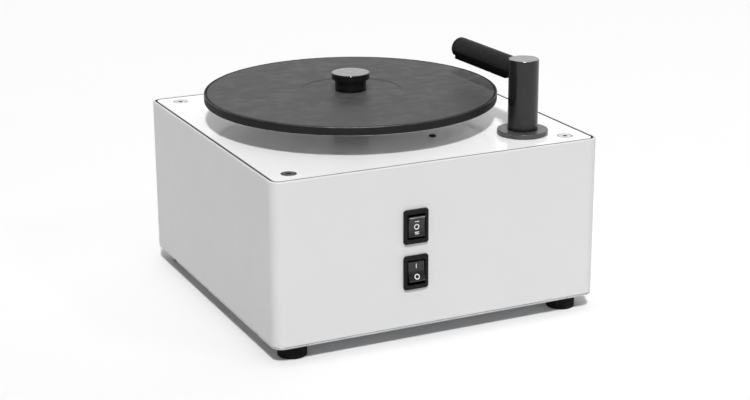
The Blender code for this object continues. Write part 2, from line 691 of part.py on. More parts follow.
def make_platter(axis):
    """Makes the platter disc with its inset mat and the hub below it."""
    bore = SPINDLE_RADIUS + GAP
    rim = PLATTER_RADIUS - MAT_RIM
    edge = PLATTER_CHAMFER
    disc = spun([(bore, DISC_LOW), (PLATTER_RADIUS - edge, DISC_LOW), (PLATTER_RADIUS, DISC_LOW + edge),
                 (PLATTER_RADIUS, PLATTER_TOP - edge), (PLATTER_RADIUS - edge, PLATTER_TOP),
                 (rim + GAP, PLATTER_TOP), (rim + GAP, MAT_LOW - GAP), (bore, MAT_LOW - GAP)], FINE_SIDES)
    piece("platter_disc", disc, "black_cast", parent=axis)
    tip_bore = SPINDLE_TIP_RADIUS + GAP
    mat = spun([(tip_bore, MAT_LOW), (rim, MAT_LOW), (rim, PLATTER_TOP - MAT_EDGE),
                (rim - MAT_EDGE, PLATTER_TOP), (LABEL_RADIUS + LABEL_DEPTH, PLATTER_TOP),
                (LABEL_RADIUS, LABEL_TOP), (tip_bore, LABEL_TOP)], FINE_SIDES)
    piece("platter_mat", mat, "mat_rubber", parent=axis)
    hub_top = DISC_LOW - GAP
    hub = spun([(bore, HUB_LOW), (HUB_RADIUS - HUB_CHAMFER, HUB_LOW), (HUB_RADIUS, HUB_LOW + HUB_CHAMFER),
                (HUB_RADIUS, hub_top), (bore, hub_top)], ROUND_SIDES)
    piece("platter_hub", hub, "black_paint", parent=axis)


def make_spindle(axis):
    """Makes the spindle, from the gearbox up to its threaded tip."""
    low = GEARBOX_TOP - SPINDLE_DRIVE_LENGTH
    shoulder = MAT_LOW - GAP
    tip = SPINDLE_TIP_RADIUS
    shape = spun([(0.0, low), (SPINDLE_RADIUS, low), (SPINDLE_RADIUS, shoulder), (tip, shoulder),
                  (tip, SPINDLE_TOP - tip / 2), (tip / 2, SPINDLE_TOP), (0.0, SPINDLE_TOP)], SMALL_SIDES)
    piece("spindle", shape, "bright_steel", parent=axis)


def make_clamp(axis):
    """Makes the clamp's pad and its knob with a blind bore."""
    bore = SPINDLE_TIP_RADIUS + GAP
    pad = ring(bore, CLAMP_PAD_RADIUS, PAD_LOW, PAD_LOW + CLAMP_PAD_THICKNESS, ROUND_SIDES)
    piece("clamp_pad", pad, "black_rubber", parent=axis)
    cap_low = CLAMP_LOW + CLAMP_BODY_HEIGHT
    cap_top = cap_low + CLAMP_CAP_THICKNESS
    bore_top = SPINDLE_TOP + CLAMP_BORE_SPARE
    edge = CLAMP_CHAMFER
    knob = spun([(0.0, bore_top), (bore, bore_top), (bore, CLAMP_LOW), (CLAMP_BODY_RADIUS, CLAMP_LOW),
                 (CLAMP_BODY_RADIUS, cap_low), (CLAMP_CAP_RADIUS - edge, cap_low),
                 (CLAMP_CAP_RADIUS, cap_low + edge), (CLAMP_CAP_RADIUS, cap_top - edge),
                 (CLAMP_CAP_RADIUS - edge, cap_top), (0.0, cap_top)], ROUND_SIDES)
    piece("clamp_knob", knob, "black_paint", parent=axis)


def make_drive():
    """Makes the bearing on the top plate, the bridge below it, the gearbox and the motor."""
    at = (PLATTER_X, PLATTER_Y, 0.0)
    neck_low = BRIDGE_LOW
    bore = HOUSING_BORE
    neck = HOUSING_NECK_RADIUS
    housing = spun([(bore, neck_low), (neck, neck_low), (neck, HOUSING_LOW), (HOUSING_RADIUS, HOUSING_LOW),
                    (HOUSING_RADIUS, HOUSING_TOP), (bore, HOUSING_TOP)], ROUND_SIDES)
    piece("bearing_housing", housing, "black_paint", at)
    inner = SPINDLE_RADIUS + GAP
    outer = inner + BUSH_WALL
    flange_low = HOUSING_TOP + GAP
    bush = spun([(inner, neck_low), (outer, neck_low), (outer, flange_low), (BUSH_FLANGE_RADIUS, flange_low),
                 (BUSH_FLANGE_RADIUS, flange_low + BUSH_FLANGE_THICKNESS),
                 (inner, flange_low + BUSH_FLANGE_THICKNESS)], SMALL_SIDES)
    piece("bearing_bush", bush, "bronze", at)
    corners = list(BRIDGE_PLACES.values())
    bridge = piece("drive_bridge", prism(wrapped_outline(corners, BRIDGE_EDGE), BRIDGE_LOW, BRIDGE_TOP),
                   "zinc_steel", at)
    low = BRIDGE_LOW - CUT_OVERRUN
    high = BRIDGE_TOP + CUT_OVERRUN
    holes = [moved(rod(BRIDGE_SCREW_RADIUS + GAP, low, high, SCREW_SIDES), x, y, 0.0) for x, y in corners]
    holes.append(rod(HOUSING_NECK_RADIUS + GAP, low, high))
    cut(bridge, "bridge_holes", together(holes))
    make_bridge_screws()
    gearbox_low = GEARBOX_TOP - GEARBOX_HEIGHT
    edge = GEARBOX_CHAMFER
    drive_floor = GEARBOX_TOP - SPINDLE_DRIVE_LENGTH - GAP
    gearbox = spun([(0.0, gearbox_low), (GEARBOX_RADIUS, gearbox_low), (GEARBOX_RADIUS, GEARBOX_TOP - edge),
                    (GEARBOX_RADIUS - edge, GEARBOX_TOP), (inner, GEARBOX_TOP), (inner, drive_floor),
                    (0.0, drive_floor)], ROUND_SIDES)
    piece("drive_gearbox", gearbox, "aluminium", at)
    motor_top = gearbox_low - GAP
    motor_low = motor_top - MOTOR_HEIGHT
    motor = spun([(0.0, motor_low), (MOTOR_RADIUS - MOTOR_CHAMFER, motor_low),
                  (MOTOR_RADIUS, motor_low + MOTOR_CHAMFER), (MOTOR_RADIUS, motor_top), (0.0, motor_top)],
                 ROUND_SIDES)
    piece("drive_motor", motor, "zinc_steel", at)


def make_bridge_screws():
    """Makes the three slotted screws that hang the bridge from the top plate."""
    seat = PLATE_TOP + GAP
    head = BRIDGE_SCREW_HEAD_RADIUS
    shank = BRIDGE_SCREW_RADIUS
    edge = BRIDGE_SCREW_HEAD_DEPTH * HEAD_EDGE_SHARE
    crown = seat + BRIDGE_SCREW_HEAD_DEPTH
    profile = [(0.0, BRIDGE_LOW), (shank, BRIDGE_LOW), (shank, seat), (head, seat), (head, crown - edge),
               (head - edge, crown), (0.0, crown)]
    slot = 2 * (head + CUT_OVERRUN)
    for side, (x, y) in BRIDGE_PLACES.items():
        made = piece("bridge_screw_" + side, spun(profile, SMALL_SIDES), "black_steel",
                     (PLATTER_X + x, PLATTER_Y + y, 0.0))
        cut(made, "slot_" + side,
            block(slot, BRIDGE_SCREW_SLOT_WIDTH, crown - BRIDGE_SCREW_SLOT_DEPTH, crown + CUT_OVERRUN))


def make_arm_mount():
    """Makes the guide tube below the top plate and the flange that is screwed onto its upper end."""
    at = (ARM_X, ARM_Y, 0.0)
    edge = FLANGE_CHAMFER
    socket = GUIDE_RADIUS + GAP
    socket_top = FLANGE_LOW + FLANGE_SOCKET_DEPTH
    flange = spun([(socket, FLANGE_LOW), (FLANGE_RADIUS, FLANGE_LOW), (FLANGE_RADIUS, FLANGE_TOP - edge),
                   (FLANGE_RADIUS - edge, FLANGE_TOP), (GUIDE_BORE, FLANGE_TOP), (GUIDE_BORE, socket_top),
                   (socket, socket_top)], ROUND_SIDES)
    piece("arm_flange", flange, "black_cast", at)
    collar_top = PLATE_LOW - GAP
    collar_low = collar_top - GUIDE_COLLAR_THICKNESS
    floor = GUIDE_LOW + GUIDE_FLOOR
    step = THRUST_TOP + GAP
    chamber_wall = CHAMBER_RADIUS + GUIDE_WALL
    guide = piece("arm_guide_tube", spun([
        (0.0, GUIDE_LOW), (chamber_wall, GUIDE_LOW), (chamber_wall, collar_low),
        (GUIDE_COLLAR_RADIUS, collar_low), (GUIDE_COLLAR_RADIUS, collar_top), (GUIDE_RADIUS, collar_top),
        (GUIDE_RADIUS, GUIDE_TOP), (0.0, GUIDE_TOP)], ROUND_SIDES), "aluminium", at)
    spigot_end = chamber_wall + SPIGOT_LENGTH
    spigot = laid(rod(SPIGOT_RADIUS, 0.0, spigot_end), ALONG_Y)
    joined(guide, "guide_spigot", moved(spigot, 0.0, 0.0, OUTLET_Z))
    cut(guide, "guide_bore", spun([
        (0.0, floor), (CHAMBER_RADIUS, floor), (CHAMBER_RADIUS, step), (GUIDE_BORE, step),
        (GUIDE_BORE, GUIDE_TOP + CUT_OVERRUN), (0.0, GUIDE_TOP + CUT_OVERRUN)], ROUND_SIDES))
    outlet = laid(rod(AIR_BORE, 0.0, spigot_end + CUT_OVERRUN), ALONG_Y)
    cut(guide, "guide_outlet", moved(outlet, 0.0, 0.0, OUTLET_Z))


def make_arm_lift(axis):
    """Makes the thrust collar under the column and the spring that raises it."""
    outer = CHAMBER_RADIUS - GAP
    pilot = COLUMN_BORE - GAP
    inner = pilot - THRUST_PILOT_WALL
    pilot_top = THRUST_TOP + THRUST_PILOT_HEIGHT
    collar = spun([(inner, THRUST_LOW), (outer, THRUST_LOW), (outer, THRUST_TOP), (pilot, THRUST_TOP),
                   (pilot, pilot_top), (inner, pilot_top)], ROUND_SIDES)
    piece("thrust_collar", collar, "milk_plastic", parent=axis)
    low = GUIDE_LOW + GUIDE_FLOOR + GAP + SPRING_WIRE_RADIUS
    high = THRUST_LOW - GAP - SPRING_WIRE_RADIUS
    radius = CHAMBER_RADIUS - SPRING_SIDE_GAP - SPRING_WIRE_RADIUS
    count = SPRING_TURNS * SPRING_STEPS
    points = []
    for index in range(count + 1):
        angle = 2 * pi * index / SPRING_STEPS
        points.append((radius * cos(angle), radius * sin(angle), low + (high - low) * index / count))
    self_gap = (high - low) / SPRING_TURNS - 2 * SPRING_WIRE_RADIUS
    print("arm_spring least gap to itself in mm:", round(1000 * self_gap, 2))
    piece("arm_spring", swept(points, SPRING_WIRE_RADIUS, SPRING_SIDES), "bright_steel", (ARM_X, ARM_Y, 0.0))


def swept(route, radius, sides):
    """Sweeps a circle along a list of points, with flat ends."""
    shape = bmesh.new()
    places = [Vector(point) for point in route]
    neighbours = zip([places[0]] + places, places[1:] + [places[-1]])
    ways = [(after - before).normalized() for before, after in neighbours]
    side = ways[0].orthogonal().normalized()
    angles = [2 * pi * k / sides for k in range(sides)]
    last = None
    for place, way in zip(places, ways):
        side = (side - way * side.dot(way)).normalized()
        other = way.cross(side)
        spokes = [radius * (side * cos(angle) + other * sin(angle)) for angle in angles]
        loop = [shape.verts.new(place + spoke) for spoke in spokes]
        if last:
            for k in range(sides):
                shape.faces.new((last[k - 1], last[k], loop[k], loop[k - 1]))
        else:
            shape.faces.new(loop[::-1])
        last = loop
    shape.faces.new(last)
    bmesh.ops.recalc_face_normals(shape, faces=shape.faces)
    return shape


def rounded_route(points):
    """Rounds the corners of a route, as far as its legs allow."""
    places = [Vector(point) for point in points]
    route = [places[0]]
    for before, corner, after in zip(places, places[1:], places[2:]):
        back = before - corner
        ahead = after - corner
        start = corner + back.normalized() * min(LEAD_BEND, back.length * BEND_SHARE)
        end = corner + ahead.normalized() * min(LEAD_BEND, ahead.length * BEND_SHARE)
        for step in range(LEAD_STEPS + 1):
            t = step / LEAD_STEPS
            route.append(start * (1 - t) ** 2 + corner * 2 * t * (1 - t) + end * t ** 2)
    return route + [places[-1]]


def make_arm(axis):
    """Makes the column, closed at its top, and the tube, the end cap and the felt that it carries."""
    inside_top = COLUMN_TOP - COLUMN_TOP_THICKNESS
    edge = COLUMN_CHAMFER
    shape = spun([(0.0, inside_top), (COLUMN_BORE, inside_top), (COLUMN_BORE, COLUMN_LOW),
                  (COLUMN_RADIUS, COLUMN_LOW), (COLUMN_RADIUS, COLUMN_TOP - edge),
                  (COLUMN_RADIUS - edge, COLUMN_TOP), (0.0, COLUMN_TOP)], ROUND_SIDES)
    column = piece("arm_column", shape, "black_paint", parent=axis)
    hole = laid(rod(TUBE_SPIGOT_RADIUS + GAP, 0.0, COLUMN_RADIUS + CUT_OVERRUN), ALONG_Y)
    cut(column, "column_side", moved(hole, 0.0, 0.0, TUBE_Z))
    flat_top = TUBE_Z - TUBE_FLAT_DROP
    flat_low = TUBE_Z - TUBE_RADIUS - CUT_OVERRUN
    make_suction_tube(axis, flat_low, flat_top)
    make_arm_end_cap(axis, flat_low, flat_top)
    felt_top = flat_top - GAP
    felt_length = TUBE_REACH - FELT_START - 2 * GAP
    shape = moved(block(FELT_WIDTH, felt_length, felt_top - FELT_THICKNESS, felt_top),
                  0.0, FELT_START + GAP + felt_length / 2, 0.0)
    felt = piece("felt_strip", shape, "felt", parent=axis)
    cut(felt, "felt_slot", slot_cutter(flat_low, flat_top))


def slot_cutter(low, high):
    """Makes the cutter of the suction slot, along the underside."""
    length = TUBE_REACH - SLOT_END_MARGIN - SLOT_START
    return moved(block(SLOT_WIDTH, length, low, high), 0.0, SLOT_START + length / 2, 0.0)


def make_suction_tube(axis, flat_low, flat_top):
    """Makes the suction tube: coped to the column, flat and slotted below, and bored through."""
    end = TUBE_REACH - END_CAP_THICKNESS - GAP
    outside = laid(rod(TUBE_RADIUS, 0.0, end, ROUND_SIDES), ALONG_Y)
    made = piece("suction_tube", moved(outside, 0.0, 0.0, TUBE_Z), "black_paint", parent=axis)
    cope_high = TUBE_Z + TUBE_RADIUS + CUT_OVERRUN
    cope = rod(COLUMN_RADIUS + GAP, flat_low, cope_high, ROUND_SIDES)
    cut(made, "tube_cope", laid(cope, Matrix.Rotation(pi / ROUND_SIDES, 3, "Z")))
    spigot = laid(rod(TUBE_SPIGOT_RADIUS, TUBE_SPIGOT_START, SLOT_START), ALONG_Y)
    joined(made, "tube_spigot", moved(spigot, 0.0, 0.0, TUBE_Z))
    length = end - FELT_START + CUT_OVERRUN
    flat = moved(block(2 * TUBE_RADIUS, length, flat_low, flat_top), 0.0, FELT_START + length / 2, 0.0)
    cut(made, "tube_flat", flat)
    cut(made, "tube_slot", slot_cutter(flat_low, TUBE_Z))
    bore = laid(rod(TUBE_BORE_RADIUS, -CUT_OVERRUN, end + CUT_OVERRUN), ALONG_Y)
    cut(made, "tube_bore", moved(bore, 0.0, 0.0, TUBE_Z))


def make_arm_end_cap(axis, flat_low, flat_top):
    """Makes the cap that closes the suction tube's free end."""
    edge = END_CAP_CHAMFER
    inner = TUBE_BORE_RADIUS - GAP
    low = TUBE_REACH - END_CAP_THICKNESS
    shape = spun([(0.0, low - END_CAP_SPIGOT_LENGTH), (inner, low - END_CAP_SPIGOT_LENGTH), (inner, low),
                  (TUBE_RADIUS, low), (TUBE_RADIUS, TUBE_REACH - edge), (TUBE_RADIUS - edge, TUBE_REACH),
                  (0.0, TUBE_REACH)], ROUND_SIDES)
    made = piece("arm_end_cap", moved(laid(shape, ALONG_Y), 0.0, 0.0, TUBE_Z), "black_paint", parent=axis)
    flat = block(2 * TUBE_RADIUS, 2 * END_CAP_SPIGOT_LENGTH, flat_low, flat_top)
    cut(made, "cap_flat", moved(flat, 0.0, TUBE_REACH, 0.0))


def make_hoses():
    """Makes the straight hoses from the arm guide to the tank and from the tank to the blower."""
    start = ARM_Y + CHAMBER_RADIUS + GUIDE_WALL + GAP
    end = TANK_Y - TANK_DEPTH / 2 + HOSE_TANK_ENTRY
    hose = laid(ring(HOSE_BORE_RADIUS, HOSE_RADIUS, start, end), ALONG_Y)
    piece("suction_hose", moved(hose, 0.0, 0.0, OUTLET_Z), "grey_rubber", (ARM_X, 0.0, 0.0))
    start = BLOWER_X + FAN_HOUSING_RADIUS + GAP
    end = TANK_X - TANK_WIDTH / 2 + HOSE_TANK_ENTRY
    hose = laid(ring(HOSE_BORE_RADIUS, HOSE_RADIUS, start, end), ALONG_X)
    piece("blower_hose", moved(hose, 0.0, 0.0, HOSE_Z), "grey_rubber", (0.0, BLOWER_Y, 0.0))


def tank_outline(inset):
    """Gives the tank's outline, drawn in by an inset."""
    return rounded_outline(TANK_WIDTH - 2 * inset, TANK_DEPTH - 2 * inset, TANK_CORNER_RADIUS - inset)


def make_tank():
    """Makes the waste tank, its lid and the strap that holds both down."""
    at = (TANK_X, TANK_Y, 0.0)
    body = piece("tank_body", prism(tank_outline(0.0), TANK_LOW, TANK_TOP), "milk_plastic", at)
    cut(body, "tank_inside", prism(tank_outline(TANK_WALL), TANK_LOW + TANK_WALL, TANK_TOP + CUT_OVERRUN))
    reach = TANK_WALL + CUT_OVERRUN
    front = moved(laid(rod(HOSE_RADIUS + GAP, -CUT_OVERRUN, reach), ALONG_Y),
                  ARM_X - TANK_X, -TANK_DEPTH / 2, OUTLET_Z)
    side = moved(laid(rod(HOSE_RADIUS + GAP, -CUT_OVERRUN, reach), ALONG_X),
                 -TANK_WIDTH / 2, BLOWER_Y - TANK_Y, HOSE_Z)
    drain = moved(laid(rod(DRAIN_RADIUS + GAP, -reach, CUT_OVERRUN), ALONG_Y),
                  DRAIN_X - TANK_X, TANK_DEPTH / 2, DRAIN_Z)
    cut(body, "tank_ports", together([front, side, drain]))
    rim_low = TANK_TOP + GAP - LID_RIM_DEPTH
    rim = tank_outline(TANK_WALL + GAP)
    lid = piece("tank_lid", prism(tank_outline(0.0), TANK_TOP + GAP, LID_TOP), "milk_plastic", at)
    joined(lid, "lid_rim", prism(rim, rim_low, LID_TOP - LID_THICKNESS / 2))
    hollow = tank_outline(TANK_WALL + GAP + LID_RIM_WALL)
    cut(lid, "lid_hollow", prism(hollow, rim_low - CUT_OVERRUN, TANK_TOP + GAP))
    make_tank_strap()


def make_tank_strap():
    """Makes the steel strap over the tank, with a foot on each side to weld to the base plate."""
    inner = TANK_WIDTH / 2 + GAP
    outer = inner + STRAP_THICKNESS
    foot = outer + STRAP_FOOT
    low = FLOOR_SEAT
    step = low + STRAP_THICKNESS
    inner_top = LID_TOP + GAP
    top = inner_top + STRAP_THICKNESS
    outline = [(foot, low), (foot, step), (outer, step), (outer, top), (-outer, top), (-outer, step),
               (-foot, step), (-foot, low), (-inner, low), (-inner, inner_top), (inner, inner_top),
               (inner, low)]
    shape = laid(prism(outline, -STRAP_WIDTH / 2, STRAP_WIDTH / 2), Matrix.Rotation(pi / 2, 3, "X"))
    piece("tank_strap", shape, "zinc_steel", (TANK_X, STRAP_Y, 0.0))


def make_drain(axis):
    """Makes the drain spout through the back wall and its pull-out plug."""
    start = TANK_Y + TANK_DEPTH / 2 - DRAIN_TANK_ENTRY
    flange_low = BACK + GAP
    flange_high = flange_low + DRAIN_FLANGE_THICKNESS
    spout = spun([(DRAIN_BORE_RADIUS, start), (DRAIN_RADIUS, start), (DRAIN_RADIUS, flange_low),
                  (DRAIN_FLANGE_RADIUS, flange_low), (DRAIN_FLANGE_RADIUS, flange_high),
                  (DRAIN_BORE_RADIUS, flange_high)], SMALL_SIDES)
    piece("drain_spout", moved(laid(spout, ALONG_Y), 0.0, 0.0, DRAIN_Z), "black_plastic", (DRAIN_X, 0.0, 0.0))
    stem = DRAIN_BORE_RADIUS - GAP
    head_low = flange_high + GAP
    edge = PLUG_CHAMFER
    plug = spun([(0.0, head_low - PLUG_LENGTH), (stem - edge, head_low - PLUG_LENGTH),
                 (stem, head_low - PLUG_LENGTH + edge), (stem, head_low), (PLUG_HEAD_RADIUS, head_low),
                 (PLUG_HEAD_RADIUS, REACH - edge), (PLUG_HEAD_RADIUS - edge, REACH), (0.0, REACH)],
                SMALL_SIDES)
    piece("drain_plug", laid(plug, ALONG_Y), "black_rubber", parent=axis)


def make_blower(axis):
    """Makes the blower: rubber ring, motor frame, fan housing and the rotor inside them."""
    at = (BLOWER_X, BLOWER_Y, 0.0)
    ring_low = FLOOR_SEAT
    support = ring(BLOWER_RING_RADIUS - BLOWER_RING_WIDTH, BLOWER_RING_RADIUS, ring_low,
                   ring_low + BLOWER_RING_HEIGHT, ROUND_SIDES)
    piece("blower_ring", support, "black_rubber", at)
    bore = BLOWER_SHAFT_RADIUS + GAP
    cell_low = FRAME_LOW + BLOWER_FRAME_END
    cell_high = FRAME_TOP - BLOWER_FRAME_END
    frame = spun([(bore, FRAME_LOW), (BLOWER_FRAME_RADIUS, FRAME_LOW), (BLOWER_FRAME_RADIUS, FRAME_TOP),
                  (bore, FRAME_TOP), (bore, cell_high), (FIELD_BORE_RADIUS, cell_high),
                  (FIELD_BORE_RADIUS, cell_low), (bore, cell_low)], ROUND_SIDES)
    piece("blower_frame", frame, "field_iron", at)
    make_fan_housing(at)
    shaft = BLOWER_SHAFT_RADIUS
    armature_low = cell_low + ARMATURE_END_GAP
    armature_high = cell_high - ARMATURE_END_GAP
    fan_top = FAN_LOW + FAN_DISC_THICKNESS
    shaft_top = fan_top + FAN_BLADE_HEIGHT
    rotor = spun([(0.0, FRAME_LOW), (shaft, FRAME_LOW), (shaft, armature_low),
                  (ARMATURE_RADIUS, armature_low), (ARMATURE_RADIUS, armature_high), (shaft, armature_high),
                  (shaft, FAN_LOW), (FAN_RADIUS, FAN_LOW), (FAN_RADIUS, fan_top), (shaft, fan_top),
                  (shaft, shaft_top), (0.0, shaft_top)], ROUND_SIDES)
    made = piece("blower_rotor", rotor, "aluminium", parent=axis)
    length = (FAN_RADIUS - FAN_EYE_RADIUS) * cos(FAN_BLADE_SWEEP) - GAP
    blades = []
    for index in range(FAN_BLADE_COUNT):
        blade = block(length, FAN_BLADE_THICKNESS, fan_top - FAN_DISC_THICKNESS / 2, shaft_top)
        blade = laid(blade, Matrix.Rotation(FAN_BLADE_SWEEP, 3, "Z"))
        blade = moved(blade, (FAN_RADIUS + FAN_EYE_RADIUS) / 2 - FAN_BLADE_THICKNESS, 0.0, 0.0)
        blades.append(laid(blade, Matrix.Rotation(2 * pi * index / FAN_BLADE_COUNT, 3, "Z")))
    joined(made, "fan_blades", together(blades))


def make_fan_housing(at):
    """Makes the fan housing with its side inlet and its exhaust port."""
    wall = FAN_HOUSING_WALL
    edge = FAN_HOUSING_CHAMFER
    low = FAN_HOUSING_LOW
    high = FAN_HOUSING_TOP
    outer = FAN_HOUSING_RADIUS
    bore = BLOWER_SHAFT_RADIUS + wall
    housing = spun([(0.0, low), (outer, low), (outer, high - edge), (outer - edge, high), (0.0, high)],
                   ROUND_SIDES)
    made = piece("blower_housing", housing, "black_plastic", at)
    spigot = laid(rod(SPIGOT_RADIUS, outer / 2, outer + SPIGOT_LENGTH), ALONG_X)
    joined(made, "housing_spigot", moved(spigot, 0.0, 0.0, HOSE_Z))
    inside = spun([(0.0, low + wall), (outer - wall, low + wall), (outer - wall, high - edge - wall / 2),
                   (outer - edge, high - wall), (0.0, high - wall)], ROUND_SIDES)
    cut(made, "housing_inside", inside)
    cut(made, "housing_shaft", rod(bore, low - CUT_OVERRUN, low + wall + CUT_OVERRUN))
    port = laid(block(FAN_EXHAUST_WIDTH, FAN_EXHAUST_HEIGHT, outer - 2 * wall, outer + CUT_OVERRUN), ALONG_Y)
    cut(made, "housing_port", moved(port, 0.0, 0.0, low + wall + FAN_EXHAUST_HEIGHT))
    inlet = laid(rod(AIR_BORE, outer / 2, outer + SPIGOT_LENGTH + CUT_OVERRUN), ALONG_X)
    cut(made, "housing_inlet", moved(inlet, 0.0, 0.0, HOSE_Z))


def make_switch(name, z, axis, terminals):
    """Makes one rocker switch: its body with the bezel, and its rocker with pivot pins."""
    at = (SWITCH_X, 0.0, z)
    bezel = prism(rounded_outline(BEZEL_WIDTH, BEZEL_HEIGHT, BEZEL_CORNER_RADIUS, 3), 0.0, BEZEL_THICKNESS)
    bezel = softened(bezel, lambda middle: middle.z > BEZEL_THICKNESS - WELD, BEZEL_CHAMFER)
    bezel = moved(laid(bezel, Matrix.Rotation(pi / 2, 3, "X")), 0.0, FRONT - GAP, 0.0)
    made = piece(name + "_switch_body", bezel, "black_plastic", at)
    inner_end = FRONT - GAP - BEZEL_THICKNESS / 2
    body = laid(block(SWITCH_BODY_WIDTH, SWITCH_BODY_HEIGHT, inner_end, FRONT + SWITCH_BODY_DEPTH), ALONG_Y)
    joined(made, name + "_body", body)
    blades = []
    for index in range(terminals):
        height = (index - (terminals - 1) / 2) * TERMINAL_PITCH
        blade = block(TERMINAL_WIDTH, TERMINAL_THICKNESS, FRONT + SWITCH_BODY_DEPTH - TERMINAL_THICKNESS,
                      FRONT + SWITCH_BODY_DEPTH + TERMINAL_LENGTH)
        blades.append(moved(laid(blade, ALONG_Y), 0.0, 0.0, height))
    joined(made, name + "_terminals", together(blades))
    window = block(WINDOW_WIDTH, WINDOW_HEIGHT, BEZEL_FRONT - CUT_OVERRUN, BEZEL_FRONT + WINDOW_DEPTH)
    cut(made, name + "_window", laid(window, ALONG_Y))
    pin_reach = ROCKER_WIDTH / 2 + PIVOT_PIN_LENGTH
    holes = laid(rod(PIVOT_PIN_RADIUS + GAP, -pin_reach - GAP, pin_reach + GAP), ALONG_X)
    cut(made, name + "_pivot", moved(holes, 0.0, PIVOT_Y, 0.0))
    make_rocker(name, axis, pin_reach)


def make_rocker(name, axis, pin_reach):
    """Makes a rocker about its pivot: two face halves in a shallow valley, and side pins."""
    face = ROCKER_FACE_RISE
    half = [(ROCKER_HALF_HEIGHT, ROCKER_END_RISE), (ROCKER_SIDE_HEIGHT, ROCKER_SIDE_RISE),
            (ROCKER_BACK_HEIGHT, -ROCKER_BACK_DEPTH)]
    side = [(0.0, face)] + half + [(-height, rise) for height, rise in reversed(half)]
    shape = prism([(height, -rise) for height, rise in side], -ROCKER_WIDTH / 2, ROCKER_WIDTH / 2)
    standing = Matrix(((0.0, 0.0, 1.0), (0.0, 1.0, 0.0), (1.0, 0.0, 0.0)))
    bmesh.ops.transform(shape, matrix=standing.to_4x4(), verts=shape.verts)
    made = piece(name + "_rocker", shape, "black_plastic", parent=axis)
    joined(made, name + "_pins", laid(rod(PIVOT_PIN_RADIUS, -pin_reach, pin_reach), ALONG_X))


def make_mains_inlet():
    """Makes the three-pin mains inlet in the back wall and its two screws."""
    at = (INLET_X, 0.0, INLET_Z)
    outer = BACK + GAP + INLET_FLANGE_THICKNESS
    outline = rounded_outline(INLET_FLANGE_WIDTH, INLET_FLANGE_HEIGHT, INLET_FLANGE_CORNER)
    made = piece("mains_inlet", laid(prism(outline, BACK + GAP, outer), ALONG_Y), "black_plastic", at)
    body_end = outer - INLET_FLANGE_THICKNESS / 2
    body = block(INLET_BODY_WIDTH, INLET_BODY_HEIGHT, BACK - INLET_BODY_DEPTH, body_end)
    joined(made, "inlet_body", laid(body, ALONG_Y))
    floor = outer - INLET_CAVITY_DEPTH
    cavity = prism(rounded_outline(INLET_CAVITY_WIDTH, INLET_CAVITY_HEIGHT, INLET_CAVITY_CORNER),
                   floor, outer + CUT_OVERRUN)
    cut(made, "inlet_cavity", laid(cavity, ALONG_Y))
    pins = []
    for x, z in ((-INLET_PIN_SPACING / 2, -INLET_EARTH_RISE), (0.0, INLET_EARTH_RISE),
                 (INLET_PIN_SPACING / 2, -INLET_EARTH_RISE)):
        pin = block(INLET_PIN_WIDTH, INLET_PIN_HEIGHT, floor - INLET_PIN_SETBACK, outer - INLET_PIN_SETBACK)
        pins.append(moved(laid(pin, ALONG_Y), x, 0.0, z))
    joined(made, "inlet_pins", together(pins))
    seat = outer + GAP
    crown = seat + INLET_SCREW_HEAD_DEPTH
    edge = INLET_SCREW_HEAD_DEPTH * HEAD_EDGE_SHARE
    tip = seat - INLET_SCREW_LENGTH
    head = INLET_SCREW_HEAD_RADIUS
    profile = [(0.0, tip), (INLET_SCREW_RADIUS, tip), (INLET_SCREW_RADIUS, seat), (head, seat),
               (head, crown - edge), (head - edge, crown), (0.0, crown)]
    holes = []
    for side, name in ((-1, "inlet_screw_left"), (1, "inlet_screw_right")):
        x = side * INLET_SCREW_SPACING / 2
        hole = rod(INLET_SCREW_RADIUS + GAP, BACK - CUT_OVERRUN, outer + CUT_OVERRUN, SCREW_SIDES)
        holes.append(moved(laid(hole, ALONG_Y), x, 0.0, 0.0))
        piece(name, laid(spun(profile, SMALL_SIDES), ALONG_Y), "bright_steel", (INLET_X + x, 0.0, INLET_Z))
    cut(made, "inlet_screw_holes", together(holes))


def make_electrics():
    """Makes the motor capacitor, the terminal block and the leads between the pieces."""
    edge = CAPACITOR_CHAMFER
    high = FLOOR_SEAT + CAPACITOR_HEIGHT
    can = spun([(0.0, FLOOR_SEAT), (CAPACITOR_RADIUS, FLOOR_SEAT), (CAPACITOR_RADIUS, high - edge),
                (CAPACITOR_RADIUS - edge, high), (0.0, high)], SMALL_SIDES)
    piece("motor_capacitor", can, "milk_plastic", (CAPACITOR_X, CAPACITOR_Y, 0.0))
    top = FLOOR_SEAT + BLOCK_HEIGHT
    made = piece("terminal_block", block(BLOCK_WIDTH, BLOCK_DEPTH, FLOOR_SEAT, top), "milk_plastic",
                 (BLOCK_X, BLOCK_Y, 0.0))
    wells = [moved(rod(BLOCK_WELL_RADIUS, top - BLOCK_WELL_DEPTH, top + CUT_OVERRUN, SCREW_SIDES),
                   (index - (BLOCK_WELL_COUNT - 1) / 2) * BLOCK_WELL_PITCH, 0.0, 0.0)
             for index in range(BLOCK_WELL_COUNT)]
    cut(made, "block_wells", together(wells))
    make_wiring_loom()


